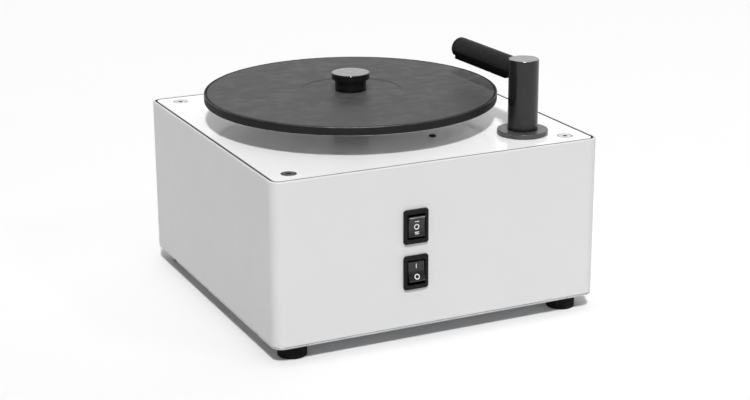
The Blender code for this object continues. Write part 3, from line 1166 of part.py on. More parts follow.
def make_wiring_loom():
    """Makes the loom: a sleeve on the base plate, with leads to the inlet, switches, motors and capacitor."""
    low = FLOOR_SEAT + SLEEVE_RADIUS
    block_front = BLOCK_Y - BLOCK_DEPTH / 2 - GAP
    inlet_end = BACK - INLET_BODY_DEPTH - GAP
    switch_end = FRONT + SWITCH_BODY_DEPTH + TERMINAL_LENGTH + GAP
    motor_end = GEARBOX_TOP - GEARBOX_HEIGHT - GAP - MOTOR_HEIGHT - GAP
    frame_side = BLOWER_X + BLOWER_FRAME_RADIUS + GAP
    sleeve = swept(rounded_route([
        (BLOCK_X, block_front, low), (BLOCK_X, block_front - LEAD_BEND, low), (PLATTER_X, PLATTER_Y, low),
        (SWITCH_X, SLEEVE_FRONT_Y + LEAD_BEND, low), (SWITCH_X, SLEEVE_FRONT_Y, low)]),
        SLEEVE_RADIUS, LEAD_SIDES)
    made = piece("wiring_loom", sleeve, "lead_sleeve")
    beside_block = BLOCK_X + BLOCK_WIDTH / 2 + LEAD_BEND
    branches = {
        "mains_lead": [
            (BLOCK_X, block_front - LEAD_BEND, low), (beside_block, block_front - LEAD_BEND, low),
            (beside_block, inlet_end - LEAD_BEND, low), (INLET_X, inlet_end - LEAD_BEND, low),
            (INLET_X, inlet_end - LEAD_BEND, INLET_Z), (INLET_X, inlet_end, INLET_Z)],
        "motor_switch_lead": [
            (SWITCH_X, SLEEVE_FRONT_Y + LEAD_BEND, low), (SWITCH_X, SLEEVE_FRONT_Y, low + LEAD_BEND),
            (SWITCH_X, SLEEVE_FRONT_Y, MOTOR_SWITCH_Z - LEAD_BEND),
            (SWITCH_X, switch_end + LEAD_BEND, MOTOR_SWITCH_Z), (SWITCH_X, switch_end, MOTOR_SWITCH_Z)],
        "vacuum_switch_lead": [
            (SWITCH_X, SLEEVE_FRONT_Y + LEAD_RADIUS, low),
            (SWITCH_X, switch_end + LEAD_BEND, low + LEAD_BEND),
            (SWITCH_X, switch_end + LEAD_BEND, VACUUM_SWITCH_Z - LEAD_BEND),
            (SWITCH_X, switch_end + LEAD_BEND / 2, VACUUM_SWITCH_Z), (SWITCH_X, switch_end, VACUUM_SWITCH_Z)],
        "motor_lead": [
            (PLATTER_X, PLATTER_Y + LEAD_BEND, low), (PLATTER_X, PLATTER_Y, low + LEAD_BEND),
            (PLATTER_X, PLATTER_Y, motor_end - LEAD_BEND), (PLATTER_X, PLATTER_Y, motor_end)],
        "capacitor_lead": [
            (PLATTER_X, PLATTER_Y, low), (PLATTER_X - LEAD_BEND, CAPACITOR_Y / 2, low),
            (CAPACITOR_X + CAPACITOR_RADIUS + LEAD_BEND, CAPACITOR_Y, low),
            (CAPACITOR_X + CAPACITOR_RADIUS + GAP, CAPACITOR_Y, low)],
        "blower_lead": [
            (BLOCK_X, block_front - LEAD_BEND, low), (BLOCK_X - LEAD_BEND, BLOWER_Y, low + LEAD_RADIUS),
            (frame_side + LEAD_BEND, BLOWER_Y, FRAME_LOW + LEAD_BEND),
            (frame_side, BLOWER_Y, FRAME_LOW + LEAD_BEND)],
    }
    for name, route in branches.items():
        joined(made, name, swept(rounded_route(route), LEAD_RADIUS, LEAD_SIDES))


def build():
    """Clears the scene and builds the whole object."""
    for old in list(bpy.data.objects):
        bpy.data.objects.remove(old)
    platter_axis = axis_empty("platter_axis", (PLATTER_X, PLATTER_Y, 0.0))
    arm_axis = axis_empty("arm_axis", (ARM_X, ARM_Y, 0.0), (0.0, 0.0, ARM_REST_ANGLE))
    blower_axis = axis_empty("blower_axis", (BLOWER_X, BLOWER_Y, 0.0))
    drain_axis = axis_empty("drain_axis", (DRAIN_X, 0.0, DRAIN_Z))
    motor_pivot = axis_empty("motor_rocker_axis", (SWITCH_X, PIVOT_Y, MOTOR_SWITCH_Z))
    vacuum_pivot = axis_empty("vacuum_rocker_axis", (SWITCH_X, PIVOT_Y, VACUUM_SWITCH_Z),
                              (-ROCKER_TILT, 0.0, 0.0))
    make_casing()
    make_top_plate()
    make_top_gasket()
    make_base_plate()
    make_corner_supports()
    make_platter(platter_axis)
    make_spindle(platter_axis)
    make_clamp(platter_axis)
    make_drive()
    make_arm_mount()
    make_arm_lift(arm_axis)
    make_arm(arm_axis)
    make_hoses()
    make_tank()
    make_drain(drain_axis)
    make_blower(blower_axis)
    make_switch("motor", MOTOR_SWITCH_Z, motor_pivot, 3)
    make_switch("vacuum", VACUUM_SWITCH_Z, vacuum_pivot, 2)
    make_mains_inlet()
    make_electrics()


build()
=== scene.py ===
"""The visual model of a record cleaning machine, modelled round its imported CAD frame.

The file is laid out as an add-on. Each operator models one piece, or one group of like pieces,
the panel lists the operators in order, and main() runs them all. Every length is in metres.
"""
import json
from contextlib import contextmanager
from math import atan2, cos, pi, radians, sin, tan

import bmesh
import bpy
from bpy.props import FloatProperty, FloatVectorProperty, IntProperty, PointerProperty
from mathutils import Matrix, Vector


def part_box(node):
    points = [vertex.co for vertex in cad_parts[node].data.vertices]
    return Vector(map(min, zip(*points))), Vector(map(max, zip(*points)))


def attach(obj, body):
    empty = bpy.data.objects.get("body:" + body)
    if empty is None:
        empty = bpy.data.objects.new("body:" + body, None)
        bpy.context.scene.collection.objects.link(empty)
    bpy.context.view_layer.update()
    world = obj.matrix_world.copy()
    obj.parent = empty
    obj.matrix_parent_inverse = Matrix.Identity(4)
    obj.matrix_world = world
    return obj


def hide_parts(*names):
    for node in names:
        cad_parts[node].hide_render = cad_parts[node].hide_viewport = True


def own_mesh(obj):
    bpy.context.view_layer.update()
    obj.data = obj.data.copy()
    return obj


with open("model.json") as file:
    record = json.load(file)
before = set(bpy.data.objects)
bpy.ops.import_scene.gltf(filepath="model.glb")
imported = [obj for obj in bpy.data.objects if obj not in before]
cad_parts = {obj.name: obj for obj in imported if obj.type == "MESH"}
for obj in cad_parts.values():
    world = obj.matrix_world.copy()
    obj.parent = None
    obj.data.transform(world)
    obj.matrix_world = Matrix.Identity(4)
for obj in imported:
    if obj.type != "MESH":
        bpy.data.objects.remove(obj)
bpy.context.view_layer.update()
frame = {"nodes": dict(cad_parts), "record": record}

bl_info = {
    "name": "Record cleaning machine",
    "version": (1, 0, 0),
    "blender": (4, 5, 0),
    "location": "3D View > Sidebar > Cleaner",
    "description": "Models a vacuum record cleaning machine piece by piece",
    "category": "Add Mesh",
}

ORIGIN = Vector((0.0, 0.0, 0.0))
UNTURNED = (0.0, 0.0, 0.0)
TO_BACK = (-pi / 2, 0.0, 0.0)  # turns a piece's top to the back
WHITE = (1.0, 1.0, 1.0, 1.0)
GAP = 0.0003  # clearance between pieces
WELD = 0.000002  # closer points are merged
OVERRUN = 0.002  # how far a cutter reaches past a face
WALL_CUT = 0.004  # how deep a cutter goes into a wall
FINE_STEPS = 192
MEDIUM_STEPS = 96
ROUND_STEPS = 72
SMALL_STEPS = 40
HOLE_STEPS = 24
CORNERS = ("front_left", "front_right", "back_left", "back_right")
BRIDGE_SIDES = ("front", "back", "left")


def box(node):
    """The lowest and highest corner of a CAD node, as vectors."""
    low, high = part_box(node)
    return Vector(low), Vector(high)


def middle(node):
    """The middle of a CAD node's box."""
    low, high = box(node)
    return (low + high) / 2


def upright(node, height=0.0):
    """The point at a height on the upright axis of a CAD node."""
    centre = middle(node)
    return Vector((centre.x, centre.y, height))


CASE_LOW, CASE_HIGH = box("casing")
FRONT = CASE_LOW.y
BACK = CASE_HIGH.y
PLATE_TOP = box("top_plate")[1].z
PLATTER_AXIS = upright("platter_disc")
PLATTER_BORE = 0.0053
CLAMP_BORE = 0.0038
ARM_AXIS = upright("arm_column")
ARM_TURN = (0.0, 0.0, radians(1.8))
ARM_SOCKET = 0.0168  # radius of the hole in the plate and the flange
SCREW_REACH = 0.020  # from the inlet's middle to each of its screws
SCREW_HOLE = 0.0018


# Modelling by hand


def clear():
    """Leaves edit mode and deselects everything."""
    if bpy.context.mode != "OBJECT":
        bpy.ops.object.mode_set(mode="OBJECT")
    bpy.ops.object.select_all(action="DESELECT")


def activate(piece):
    """Selects one piece alone."""
    clear()
    piece.select_set(True)
    bpy.context.view_layer.objects.active = piece


def discard(*pieces):
    """Deletes pieces that only helped to make others."""
    clear()
    for piece in pieces:
        piece.select_set(True)
    bpy.ops.object.delete()


def named(name):
    """Names the object that was just added, and its data."""
    piece = bpy.context.object
    piece.name = name
    piece.data.name = name
    return piece


def place(piece, at=ORIGIN, turn=UNTURNED):
    """Turns and moves a piece and puts that into its mesh."""
    piece.rotation_euler = turn
    piece.location = at
    activate(piece)
    bpy.ops.object.transform_apply(location=True, rotation=True, scale=True)
    return piece


def applied(piece, kind, **settings):
    """Adds a modifier to a piece and applies it."""
    modifier = piece.modifiers.new(kind, kind)
    for key, value in settings.items():
        setattr(modifier, key, value)
    activate(piece)
    bpy.ops.object.modifier_apply(modifier=modifier.name)


@contextmanager
def editing(piece, kind="FACE"):
    """Opens a piece in edit mode with nothing selected."""
    activate(piece)
    bpy.ops.object.mode_set(mode="EDIT")
    bpy.ops.mesh.select_mode(type=kind)
    bpy.ops.mesh.select_all(action="DESELECT")
    yield
    bpy.ops.object.mode_set(mode="OBJECT")


def everything():
    """Selects the whole of the open piece."""
    bpy.ops.mesh.select_all(action="SELECT")


def outwards():
    """Turns all faces of the open piece outwards."""
    everything()
    bpy.ops.mesh.normals_make_consistent(inside=False)


def pick(piece, kind, wanted):
    """Selects those vertices, edges or faces of the open piece that wanted() accepts."""
    bpy.ops.mesh.select_all(action="DESELECT")
    mesh = bmesh.from_edit_mesh(piece.data)
    mesh.normal_update()
    found = [part for part in getattr(mesh, kind) if wanted(part)]
    if not found:
        raise RuntimeError(f"{piece.name}: nothing to select among its {kind}")
    for part in found:
        part.select_set(True)
    mesh.select_flush_mode()
    bmesh.update_edit_mesh(piece.data)


def along(axis):
    """A test for edges that run along an axis."""
    def test(edge):
        run = edge.verts[1].co - edge.verts[0].co
        return abs(run[axis]) > 0.999 * run.length
    return test


def level(axis, value):
    """A test for edges that lie in the plane where a coordinate has that value."""
    return lambda edge: all(abs(vertex.co[axis] - value) < 10 * WELD for vertex in edge.verts)


def is_top(face):
    """Whether a face points straight up."""
    return face.normal.z > 0.999


def bevel(piece, wanted, width, segments=4):
    """Rounds the wanted edges of a piece."""
    with editing(piece, "EDGE"):
        pick(piece, "edges", wanted)
        bpy.ops.mesh.bevel(offset=width, segments=segments, affect="EDGES")


def soften(piece, width, segments=2, angle=35):
    """Breaks every sharp edge of a piece with a bevel."""
    applied(piece, "BEVEL", width=width, segments=segments, limit_method="ANGLE",
            angle_limit=radians(angle), use_clamp_overlap=True)


def smooth(piece, angle=32):
    """Shades a piece smooth, except over its sharp edges, and keeps its flat faces flat."""
    activate(piece)
    bpy.ops.object.shade_smooth_by_angle(angle=radians(angle))
    applied(piece, "WEIGHTED_NORMAL", keep_sharp=True, weight=80)


def block(name, low, high, corner=0.0, axis=2, segments=8, at=ORIGIN):
    """A block between two corners, seen from a point, with its edges along one axis rounded."""
    clear()
    low = Vector(low) + at
    high = Vector(high) + at
    bpy.ops.mesh.primitive_cube_add(size=1.0, location=(low + high) / 2)
    piece = named(name)
    piece.scale = high - low
    activate(piece)
    bpy.ops.object.transform_apply(location=True, rotation=True, scale=True)
    if corner:
        bevel(piece, along(axis), corner, segments)
    return piece


def rod(name, radius, low, high, sides=SMALL_STEPS):
    """A round or many-sided rod along Z."""
    clear()
    bpy.ops.mesh.primitive_cylinder_add(vertices=sides, radius=radius, depth=high - low)
    return place(named(name), (0.0, 0.0, (low + high) / 2))


def rounded(points, steps=5):
    """Replaces each corner that has a third number by an arc of that radius."""
    line = []
    count = len(points)
    for index, point in enumerate(points):
        corner = Vector(point[:2])
        radius = point[2] if len(point) > 2 else 0.0
        if not radius:
            line.append(corner)
            continue
        before = (Vector(points[index - 1][:2]) - corner).normalized()
        after = (Vector(points[(index + 1) % count][:2]) - corner).normalized()
        half = before.angle(after) / 2
        centre = corner + (before + after).normalized() * radius / sin(half)
        first = corner + before * radius / tan(half) - centre
        last = corner + after * radius / tan(half) - centre
        start = atan2(first.y, first.x)
        sweep = (atan2(last.y, last.x) - start + pi) % (2 * pi) - pi
        for step in range(steps + 1):
            angle = start + sweep * step / steps
            line.append(centre + Vector((cos(angle), sin(angle))) * radius)
    return line


def drawn(name, points):
    """A line of edges from point to point, drawn by extruding one vertex."""
    clear()
    bpy.ops.mesh.primitive_plane_add(size=0.001, location=ORIGIN)
    piece = named(name)
    with editing(piece, "VERT"):
        everything()
        bpy.ops.mesh.merge(type="CENTER")
        bpy.ops.transform.translate(value=points[0])
        for before, after in zip(points, points[1:]):
            bpy.ops.mesh.extrude_vertices_move(TRANSFORM_OT_translate={"value": after - before})
    return piece


def turned(name, profile, steps=ROUND_STEPS):
    """Turns a profile of (radius, height, optional rounding) about Z. Off the axis, it makes a ring."""
    line = [Vector((radius, 0.0, height)) for radius, height in rounded(profile)]
    if profile[0][0] > 0.0:
        line.append(line[0])
    piece = drawn(name, line)
    with editing(piece, "VERT"):
        everything()
        bpy.ops.mesh.spin(steps=steps, angle=2 * pi, center=ORIGIN, axis=(0.0, 0.0, 1.0))
        everything()
        bpy.ops.mesh.remove_doubles(threshold=WELD)
        outwards()
    return piece


def extruded(name, outline, run):
    """Fills a closed outline and extrudes it by a vector."""
    points = [Vector(point) for point in outline]
    piece = drawn(name, points + [points[0]])
    with editing(piece, "VERT"):
        everything()
        bpy.ops.mesh.remove_doubles(threshold=WELD)
        bpy.ops.mesh.edge_face_add()
        bpy.ops.mesh.extrude_region_move(TRANSFORM_OT_translate={"value": Vector(run)})
        outwards()
    return piece


def combine(piece, other, operation="DIFFERENCE"):
    """Cuts another piece out of this one, or fuses it on, and deletes the other."""
    applied(piece, "BOOLEAN", operation=operation, solver="EXACT", object=other)
    discard(other)


def cut(piece, low, high, corner=0.0, axis=2, segments=8, at=ORIGIN):
    """Cuts a block out of a piece."""
    combine(piece, block("cutter", low, high, corner, axis, segments, at))


def bored(piece, at, radius, low, high, sides=HOLE_STEPS, turn=UNTURNED):
    """Cuts a round hole into a piece."""
    combine(piece, place(rod("hole", radius, low, high, sides), at, turn))


def copied(piece, name, at, turn=UNTURNED):
    """A copy of a piece with its own mesh, turned and moved."""
    activate(piece)
    bpy.ops.object.duplicate(linked=False)
    return place(named(name), at, turn)


# Finishes


class Nodes:
    """Adds nodes to a material or a world."""

    def __init__(self, owner):
        owner.use_nodes = True
        self.tree = owner.node_tree

    def add(self, kind, links=(), **settings):
        """Adds a node, sets its settings and links its inputs."""
        node = self.tree.nodes.new(kind)
        for key, value in settings.items():
            setattr(node, key, value)
        for socket, source in links:
            self.give(node.inputs[socket], source)
        return node

    def give(self, socket, source):
        """Links an input to another node's output, or sets it to a value."""
        if hasattr(source, "is_output"):
            self.tree.links.new(source, socket)
        else:
            socket.default_value = source

    def spread(self, value, low, high, start=0.3, end=0.7, **settings):
        """Maps the range from start to end, which a texture fills, to the one from low to high."""
        return self.add("ShaderNodeMapRange", [
            ("Value", value), ("From Min", start), ("From Max", end), ("To Min", low), ("To Max", high)],
            **settings).outputs[0]

    def math(self, operation, first, second):
        """Adds or multiplies two values."""
        return self.add("ShaderNodeMath", [(0, first), (1, second)], operation=operation).outputs[0]


class Finish(Nodes):
    """One material out of nodes that read the piece's own coordinates.

    Constants are inputs of the shader, with two underlines for each space in their names.
    """

    def __init__(self, slot, roughness, metallic=0.0, ior=1.5, **constants):
        self.material = bpy.data.materials.new(slot.replace("_", " "))
        super().__init__(self.material)
        self.tree.nodes.clear()
        self.shader = self.add("ShaderNodeBsdfPrincipled", [
            ("Roughness", roughness), ("Metallic", metallic), ("IOR", ior)])
        self.add("ShaderNodeOutputMaterial", [("Surface", self.shader.outputs["BSDF"])])
        self.where = self.add("ShaderNodeTexCoord").outputs["Object"]
        self.relief = None
        for name, value in constants.items():
            self.shader.inputs[name.replace("__", " ")].default_value = value

    def mapped(self, stretch=(1.0, 1.0, 1.0), turn=UNTURNED):
        """The coordinates, turned and stretched."""
        return self.add("ShaderNodeMapping", [("Vector", self.where), ("Rotation", turn),
                                              ("Scale", stretch)]).outputs[0]

    def noise(self, scale, detail=2.0, where=None, distortion=0.0):
        """Cloudy noise, about 0.5 on average."""
        return self.add("ShaderNodeTexNoise", [
            ("Vector", where or self.where), ("Scale", scale), ("Detail", detail),
            ("Distortion", distortion)]).outputs["Fac"]

    def cells(self, scale, output="Distance", where=None, **settings):
        """Distances to scattered points, or a tone for each point's cell."""
        return self.add("ShaderNodeTexVoronoi", [("Vector", where or self.where), ("Scale", scale)],
                        **settings).outputs[output]

    def waves(self, scale, distortion, where=None, **settings):
        """Parallel bands."""
        return self.add("ShaderNodeTexWave", [
            ("Vector", where or self.where), ("Scale", scale), ("Distortion", distortion)],
            **settings).outputs["Fac"]

    def colour(self, factor, first, second, start=0.3, end=0.7):
        """Mixes two colours or greys into the base colour."""
        mix = self.add("ShaderNodeMix", [("Factor", self.spread(factor, 0.0, 1.0, start, end))],
                       data_type="RGBA")
        ends = [socket for socket in mix.inputs if socket.type == "RGBA"]
        for socket, value in zip(ends, (first, second)):
            socket.default_value = (*value, 1.0) if hasattr(value, "__len__") else (value, value, value, 1.0)
        result = next(socket for socket in mix.outputs if socket.type == "RGBA")
        self.give(self.shader.inputs["Base Color"], result)

    def rough(self, value, low, high, start=0.3, end=0.7):
        """Spreads the roughness between two values."""
        self.give(self.shader.inputs["Roughness"], self.spread(value, low, high, start, end))

    def bump(self, height, distance, strength=1.0):
        """Raises the surface by a height, on top of earlier reliefs."""
        node = self.add("ShaderNodeBump", [("Height", height), ("Distance", distance),
                                           ("Strength", strength)])
        if self.relief:
            self.give(node.inputs["Normal"], self.relief)
        self.relief = node.outputs["Normal"]
        self.give(self.shader.inputs["Normal"], self.relief)

    def build(self, tones, relief, gloss=None):
        """Adds the colours, the relief and the gloss."""
        self.colour(*tones)
        self.bump(*relief)
        if gloss:
            self.rough(*gloss)
        return self


def shade(colour, factor):
    """A colour made lighter or darker."""
    return tuple(min(1.0, channel * factor) for channel in colour)


def coat(slot, shader, *noises, **constants):
    """A finish of plain noise, as the rows of COATS give it."""
    made = Finish(slot, *shader, **constants)
    return made.build(*((made.noise(*noise[:2]), *noise[2:]) for noise in noises))


def black(low, high, roughness, ior, height):
    """The row of a black coat with a dry grain."""
    return ((roughness, 0.0, ior), (1500.0, 3.0, low, high), (1500.0, 3.0, height, 0.7),
            (220.0, 2.0, roughness * 0.85, roughness * 1.2))


def paint(slot, colour, roughness, mottle, peel):
    """Sprayed paint: faint clouds, orange peel and an uneven gloss."""
    return coat(slot, (roughness,), (9.0, 3.0, shade(colour, 1.0 - mottle), shade(colour, 1.0 + mottle)),
                peel, (60.0, 2.0, roughness * 0.9, roughness * 1.12))


def case_paint(slot):
    """White powder coat with a fine orange peel."""
    return paint(slot, bpy.context.scene.cleaner_case.case_colour, 0.44, 0.012, (700.0, 2.0, 0.000012))


def plate_paint(slot):
    """Smoother white enamel, glossy enough to mirror what stands on it."""
    return paint(slot, bpy.context.scene.cleaner_case.plate_colour, 0.08, 0.008, (420.0, 2.0, 0.000002))


def black_cast(slot):
    """Textured black coat on the platter's disc and the arm's flange."""
    made = Finish(slot, 0.45)
    return made.build((made.noise(1100.0, 3.0), 0.020, (0.105, 0.104, 0.103)),
                      (made.cells(900.0), 0.00008, 0.8), (made.noise(300.0), 0.22, 0.38))


def mat_rubber(slot):
    """Dark grey platter mat: mottled, with faint wiped streaks and a fine grain."""
    made = Finish(slot, 0.55, ior=1.3)
    clouds = made.noise(70.0, 4.0, distortion=0.6)
    streaks = made.noise(34.0, 3.0, made.mapped((1.0, 7.0, 1.0), (0.0, 0.0, radians(20))))
    blotches = made.math("ADD", made.math("MULTIPLY", clouds, 0.6), made.math("MULTIPLY", streaks, 0.4))
    return made.build((blotches, 0.049, (0.070, 0.069, 0.068), 0.4, 0.6),
                      (made.noise(1100.0, 3.0), 0.00006, 0.6), (blotches, 0.42, 0.60, 0.4, 0.6))


def metal(slot, colour, roughness, brush, streak=0.12):
    """Bare metal with brush lines along one axis."""
    made = Finish(slot, roughness, 1.0)
    lines = made.noise(60.0, 4.0, made.mapped(brush))
    return made.build((lines, shade(colour, 1.0 - streak), shade(colour, 1.0 + streak)),
                      (lines, 0.000012, 0.7), (made.noise(45.0, 3.0), roughness * 0.75, roughness * 1.3))


def bright_steel(slot):
    """Turned bright steel."""
    return metal(slot, (0.60, 0.60, 0.61), 0.22, (1.0, 1.0, 40.0))


def aluminium(slot):
    """Machined aluminium."""
    return metal(slot, (0.72, 0.72, 0.73), 0.32, (3.0, 3.0, 60.0))


def bronze(slot):
    """Sintered bronze with open pores."""
    made = metal(slot, (0.56, 0.36, 0.17), 0.36, (1.0, 1.0, 20.0), 0.18)
    made.bump(made.cells(2600.0), 0.00003, 0.5)
    return made


def zinc_steel(slot):
    """Zinc-plated sheet with its grown crystals."""
    made = Finish(slot, 0.34, 1.0)
    crystals = made.cells(110.0, "Color", distance="CHEBYCHEV")
    tone = made.add("ShaderNodeSeparateColor", [("Color", crystals)]).outputs[0]
    return made.build((tone, (0.46, 0.47, 0.49), (0.62, 0.63, 0.64), 0.0, 1.0),
                      (made.noise(400.0), 0.00001), (tone, 0.26, 0.42, 0.0, 1.0))


def hose_rubber(slot):
    """Grey wrapped hose."""
    made = Finish(slot, 0.6)
    return made.build((made.noise(60.0, 4.0), (0.12, 0.12, 0.13), (0.20, 0.20, 0.21)),
                      (made.waves(90.0, 0.6, made.mapped(turn=(0.3, 0.2, 0.0))), 0.0003, 0.4))


def felt(slot):
    """Black felt: matted fibres with a soft sheen."""
    made = Finish(slot, 0.95, Specular__IOR__Level=0.1, Sheen__Weight=0.02, Sheen__Roughness=0.6)
    fibres = made.noise(1400.0, 5.0, made.mapped((1.0, 0.35, 1.0)), 1.5)
    return made.build((fibres, 0.0005, 0.004), (fibres, 0.0003, 0.9))


def field_iron(slot):
    """A stack of iron laminations with a film of varnish."""
    made = Finish(slot, 0.45, 0.8)
    sheets = made.waves(320.0, 0.3, bands_direction="Z")
    return made.build((sheets, (0.14, 0.12, 0.10), (0.34, 0.32, 0.30), 0.0, 1.0), (sheets, 0.0001, 0.6))


def lead_sleeve(slot):
    """Woven dark sleeve round the leads."""
    made = Finish(slot, 0.7)
    weave = made.cells(900.0, where=made.mapped(turn=(0.0, 0.0, 0.8)), distance="MANHATTAN")
    return made.build((weave, (0.10, 0.10, 0.11), (0.02, 0.02, 0.022), 0.1, 0.6), (weave, 0.00015, 0.7))


def milk_plastic(slot):
    """Natural translucent plastic, lit through its wall."""
    return coat(slot, (0.42,), (25.0, 3.0, (0.70, 0.71, 0.67), (0.80, 0.81, 0.78)), (500.0, 2.0, 0.00002),
                Subsurface__Weight=0.25, Subsurface__Radius=(0.004, 0.004, 0.004))


# Each row has the shader's roughness, metal and refraction, then up to three noises (scale, detail): that
# of the tones, with the darkest and lightest colour or grey; that of the relief, with its height and
# strength; and that of the gloss, with the lowest and highest roughness.
COATS = {
    # Matte paint on the tube, the hub and the bearing
    "black_paint": black(0.007, 0.021, 0.55, 1.22, 0.00003),
    # Glossy coat on the clamp's sides
    "clamp_black": black(0.002, 0.008, 0.13, 1.5, 0.000003),
    # Satin coat on the arm's column
    "column_black": black(0.005, 0.017, 0.22, 1.5, 0.00001),
    # Matte plastic of the switches' bezels
    "bezel_black": black(0.004, 0.012, 0.5, 1.25, 0.00001),
    # Flat coat round the platter's rim, and a lighter metal finish on the rounded edge above it: a painted
    # highlight along the edge
    "rim_black": black(0.006, 0.018, 0.6, 1.25, 0.00003),
    "rim_edge": ((0.45, 1.0), (90.0, 4.0, 0.07, 0.15), (1500.0, 2.0, 0.00001), (300.0, 2.0, 0.40, 0.55)),
    # Lighter metal finish on the top faces of the column and the clamp: a painted highlight for the light
    # that these tops catch, smooth enough to mirror the room
    "bright_face": ((0.20, 1.0), (260.0, 4.0, (0.24, 0.24, 0.245), (0.34, 0.34, 0.345)),
                    (1800.0, 2.0, 0.000002), (90.0, 3.0, 0.15, 0.26)),
    # The seam's strip, deep in its gap and without any shine. The same dark matte coat is also put on the
    # plate's countersink walls as painted shade.
    "seam_rubber": ((0.95, 0.0, 1.1), (400.0, 3.0, 0.004, 0.012), (1600.0, 3.0, 0.00004, 0.6)),
    # Rubber with a dusty bloom
    "black_rubber": ((0.8, 0.0, 1.22), (120.0, 4.0, 0.004, (0.013, 0.013, 0.012)),
                     (1600.0, 3.0, 0.00004, 0.6)),
    # Black oxide on screws, worn a little at random
    "black_steel": ((0.34, 0.6), (900.0, 4.0, (0.012, 0.012, 0.013), (0.09, 0.085, 0.08), 0.45, 0.8),
                    (1800.0, 2.0, 0.00001), (500.0, 2.0, 0.26, 0.44)),
    # Countersunk screws, which mirror the room or the platter's rim
    "polished_screw": ((0.07, 1.0), (700.0, 3.0, (0.70, 0.70, 0.71), (0.80, 0.80, 0.81)),
                       (1800.0, 2.0, 0.000002), (300.0, 2.0, 0.05, 0.11)),
    # Moulded plastic with a fine spark-eroded grain
    "black_plastic": ((0.20,), (90.0, 3.0, (0.010, 0.010, 0.011), (0.020, 0.020, 0.022)),
                      (2400.0, 2.0, 0.00001, 0.8), (180.0, 2.0, 0.16, 0.26)),
    # Marks printed on the rockers, slightly uneven
    "white_print": ((0.5,), (1500.0, 3.0, 0.55, (0.80, 0.80, 0.79)), (2500.0, 2.0, 0.00001)),
}
SPECIAL = {maker.__name__: maker for maker in (
    case_paint, plate_paint, zinc_steel, bright_steel, aluminium, bronze, black_cast, mat_rubber,
    hose_rubber, felt, field_iron, lead_sleeve, milk_plastic)}
MADE = {}


def finish(slot):
    """The material for a slot, made the first time it is asked for."""
    if slot not in MADE:
        made = SPECIAL[slot](slot) if slot in SPECIAL else coat(slot, *COATS[slot])
        MADE[slot] = made.material
    return MADE[slot]


def painted(piece, *looks):
    """Gives a piece its main finish, and each further one to the faces that its test wants."""
    main, *others = looks
    piece.data.materials.append(finish(main))
    for index, (look, wanted) in enumerate(others, 1):
        piece.data.materials.append(finish(look))
        with editing(piece):
            pick(piece, "faces", wanted)
            piece.active_material_index = index
            bpy.ops.object.material_slot_assign()


def dress(piece, slot, body="chassis", nodes=(), angle=32, look=None):
    """Shades a piece, gives it its finish and its body, and hides the CAD nodes that it stands for."""
    smooth(piece, angle)
    if not piece.data.materials:
        piece.data.materials.append(finish(look or slot))
    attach(piece, body)
    if nodes:
        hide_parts(*nodes)
    return piece


def lathe(name, profile, at, slot, body="chassis", nodes=(), steps=ROUND_STEPS, turn=UNTURNED):
    """A turned piece in its place and dressed."""
    return dress(place(turned(name, profile, steps), at, turn), slot, body, nodes)


# Settings


def length(name, description, default):
    """A setting in metres."""
    return FloatProperty(name=name, description=description, default=default, min=0.0, unit="LENGTH")


def angle(name, description, default):
    """A setting that is an angle."""
    return FloatProperty(name=name, description=description, default=default, subtype="ANGLE",
                         unit="ROTATION")


def strength(name, description, default):
    """A setting that is a strength of light."""
    return FloatProperty(name=name, description=description, default=default, min=0.0)


def colour(name, description, grey):
    """A setting that is a colour, a grey at first."""
    return FloatVectorProperty(name=name, description=description, default=(grey, grey, grey),
                               subtype="COLOR", min=0.0, max=1.0)


class CleanerCase(bpy.types.PropertyGroup):
    """Sizes and colours of the case."""

    corner_radius: length("Corner radius", "Rounding of the case's upright corners", 0.010)
    sheet: length("Sheet", "Thickness of the wrap", 0.002)
    seam: length("Seam", "Width of the seam round the top plate", 0.0015)
    vent_count: IntProperty(name="Vents", description="Number of slots in the back wall", default=8, min=1)
    case_colour: colour("Case colour", "Colour of the powder coat", 0.615)
    plate_colour: colour("Plate colour", "Colour of the top plate's enamel", 0.90)


class CleanerPlatter(bpy.types.PropertyGroup):
    """Sizes of the platter and the clamp."""

    radius: length("Radius", "Radius of the platter", 0.137)
    mat_rim: length("Mat rim", "Bare rim outside the mat", 0.0026)
    label_radius: length("Label recess", "Radius of the recess for the label", 0.047)
    clamp_radius: length("Clamp", "Radius of the clamp's cap", 0.0179)


class CleanerArm(bpy.types.PropertyGroup):
    """Sizes of the suction arm."""

    column_radius: length("Column radius", "Radius of the arm's column", 0.0137)
    tube_radius: length("Tube radius", "Radius of the suction tube", 0.010)
    tube_reach: length("Tube reach", "Length of the tube from the column's axis", 0.1126)
    flange_radius: length("Flange radius", "Radius of the flange on the plate", 0.0233)


class CleanerSwitch(bpy.types.PropertyGroup):
    """Sizes of the rocker switches."""

    bezel_width: length("Bezel width", "Width of a switch's bezel", 0.024)
    bezel_height: length("Bezel height", "Height of a switch's bezel", 0.0314)
    tilt: angle("Tilt", "Tilt of the vacuum rocker at rest", radians(11))


class CleanerStage(bpy.types.PropertyGroup):
    """The camera, the light and the floor."""

    yaw: angle("Yaw", "Camera's turn to the right of straight ahead", radians(25.36))
    pitch: angle("Pitch", "Camera's tilt downwards", radians(17.59))
    roll: angle("Roll", "Camera's roll", radians(-0.25))
    camera_place: FloatVectorProperty(name="Camera place", description="Where the camera stands",
                                      default=(-0.66787, -1.42968, 0.58323), subtype="TRANSLATION",
                                      unit="LENGTH")
    key: strength("Key light", "Strength of the main light", 2.95)
    fill: strength("Fill light", "Strength of the light from all round", 0.13)
    overhead: strength("Overhead light", "Strength of the light from above", 0.60)
    wall: strength("Wall light", "Brightness of the wall far behind", 0.75)
    floor_colour: colour("Floor colour", "Colour of the floor", 0.775)


# The case


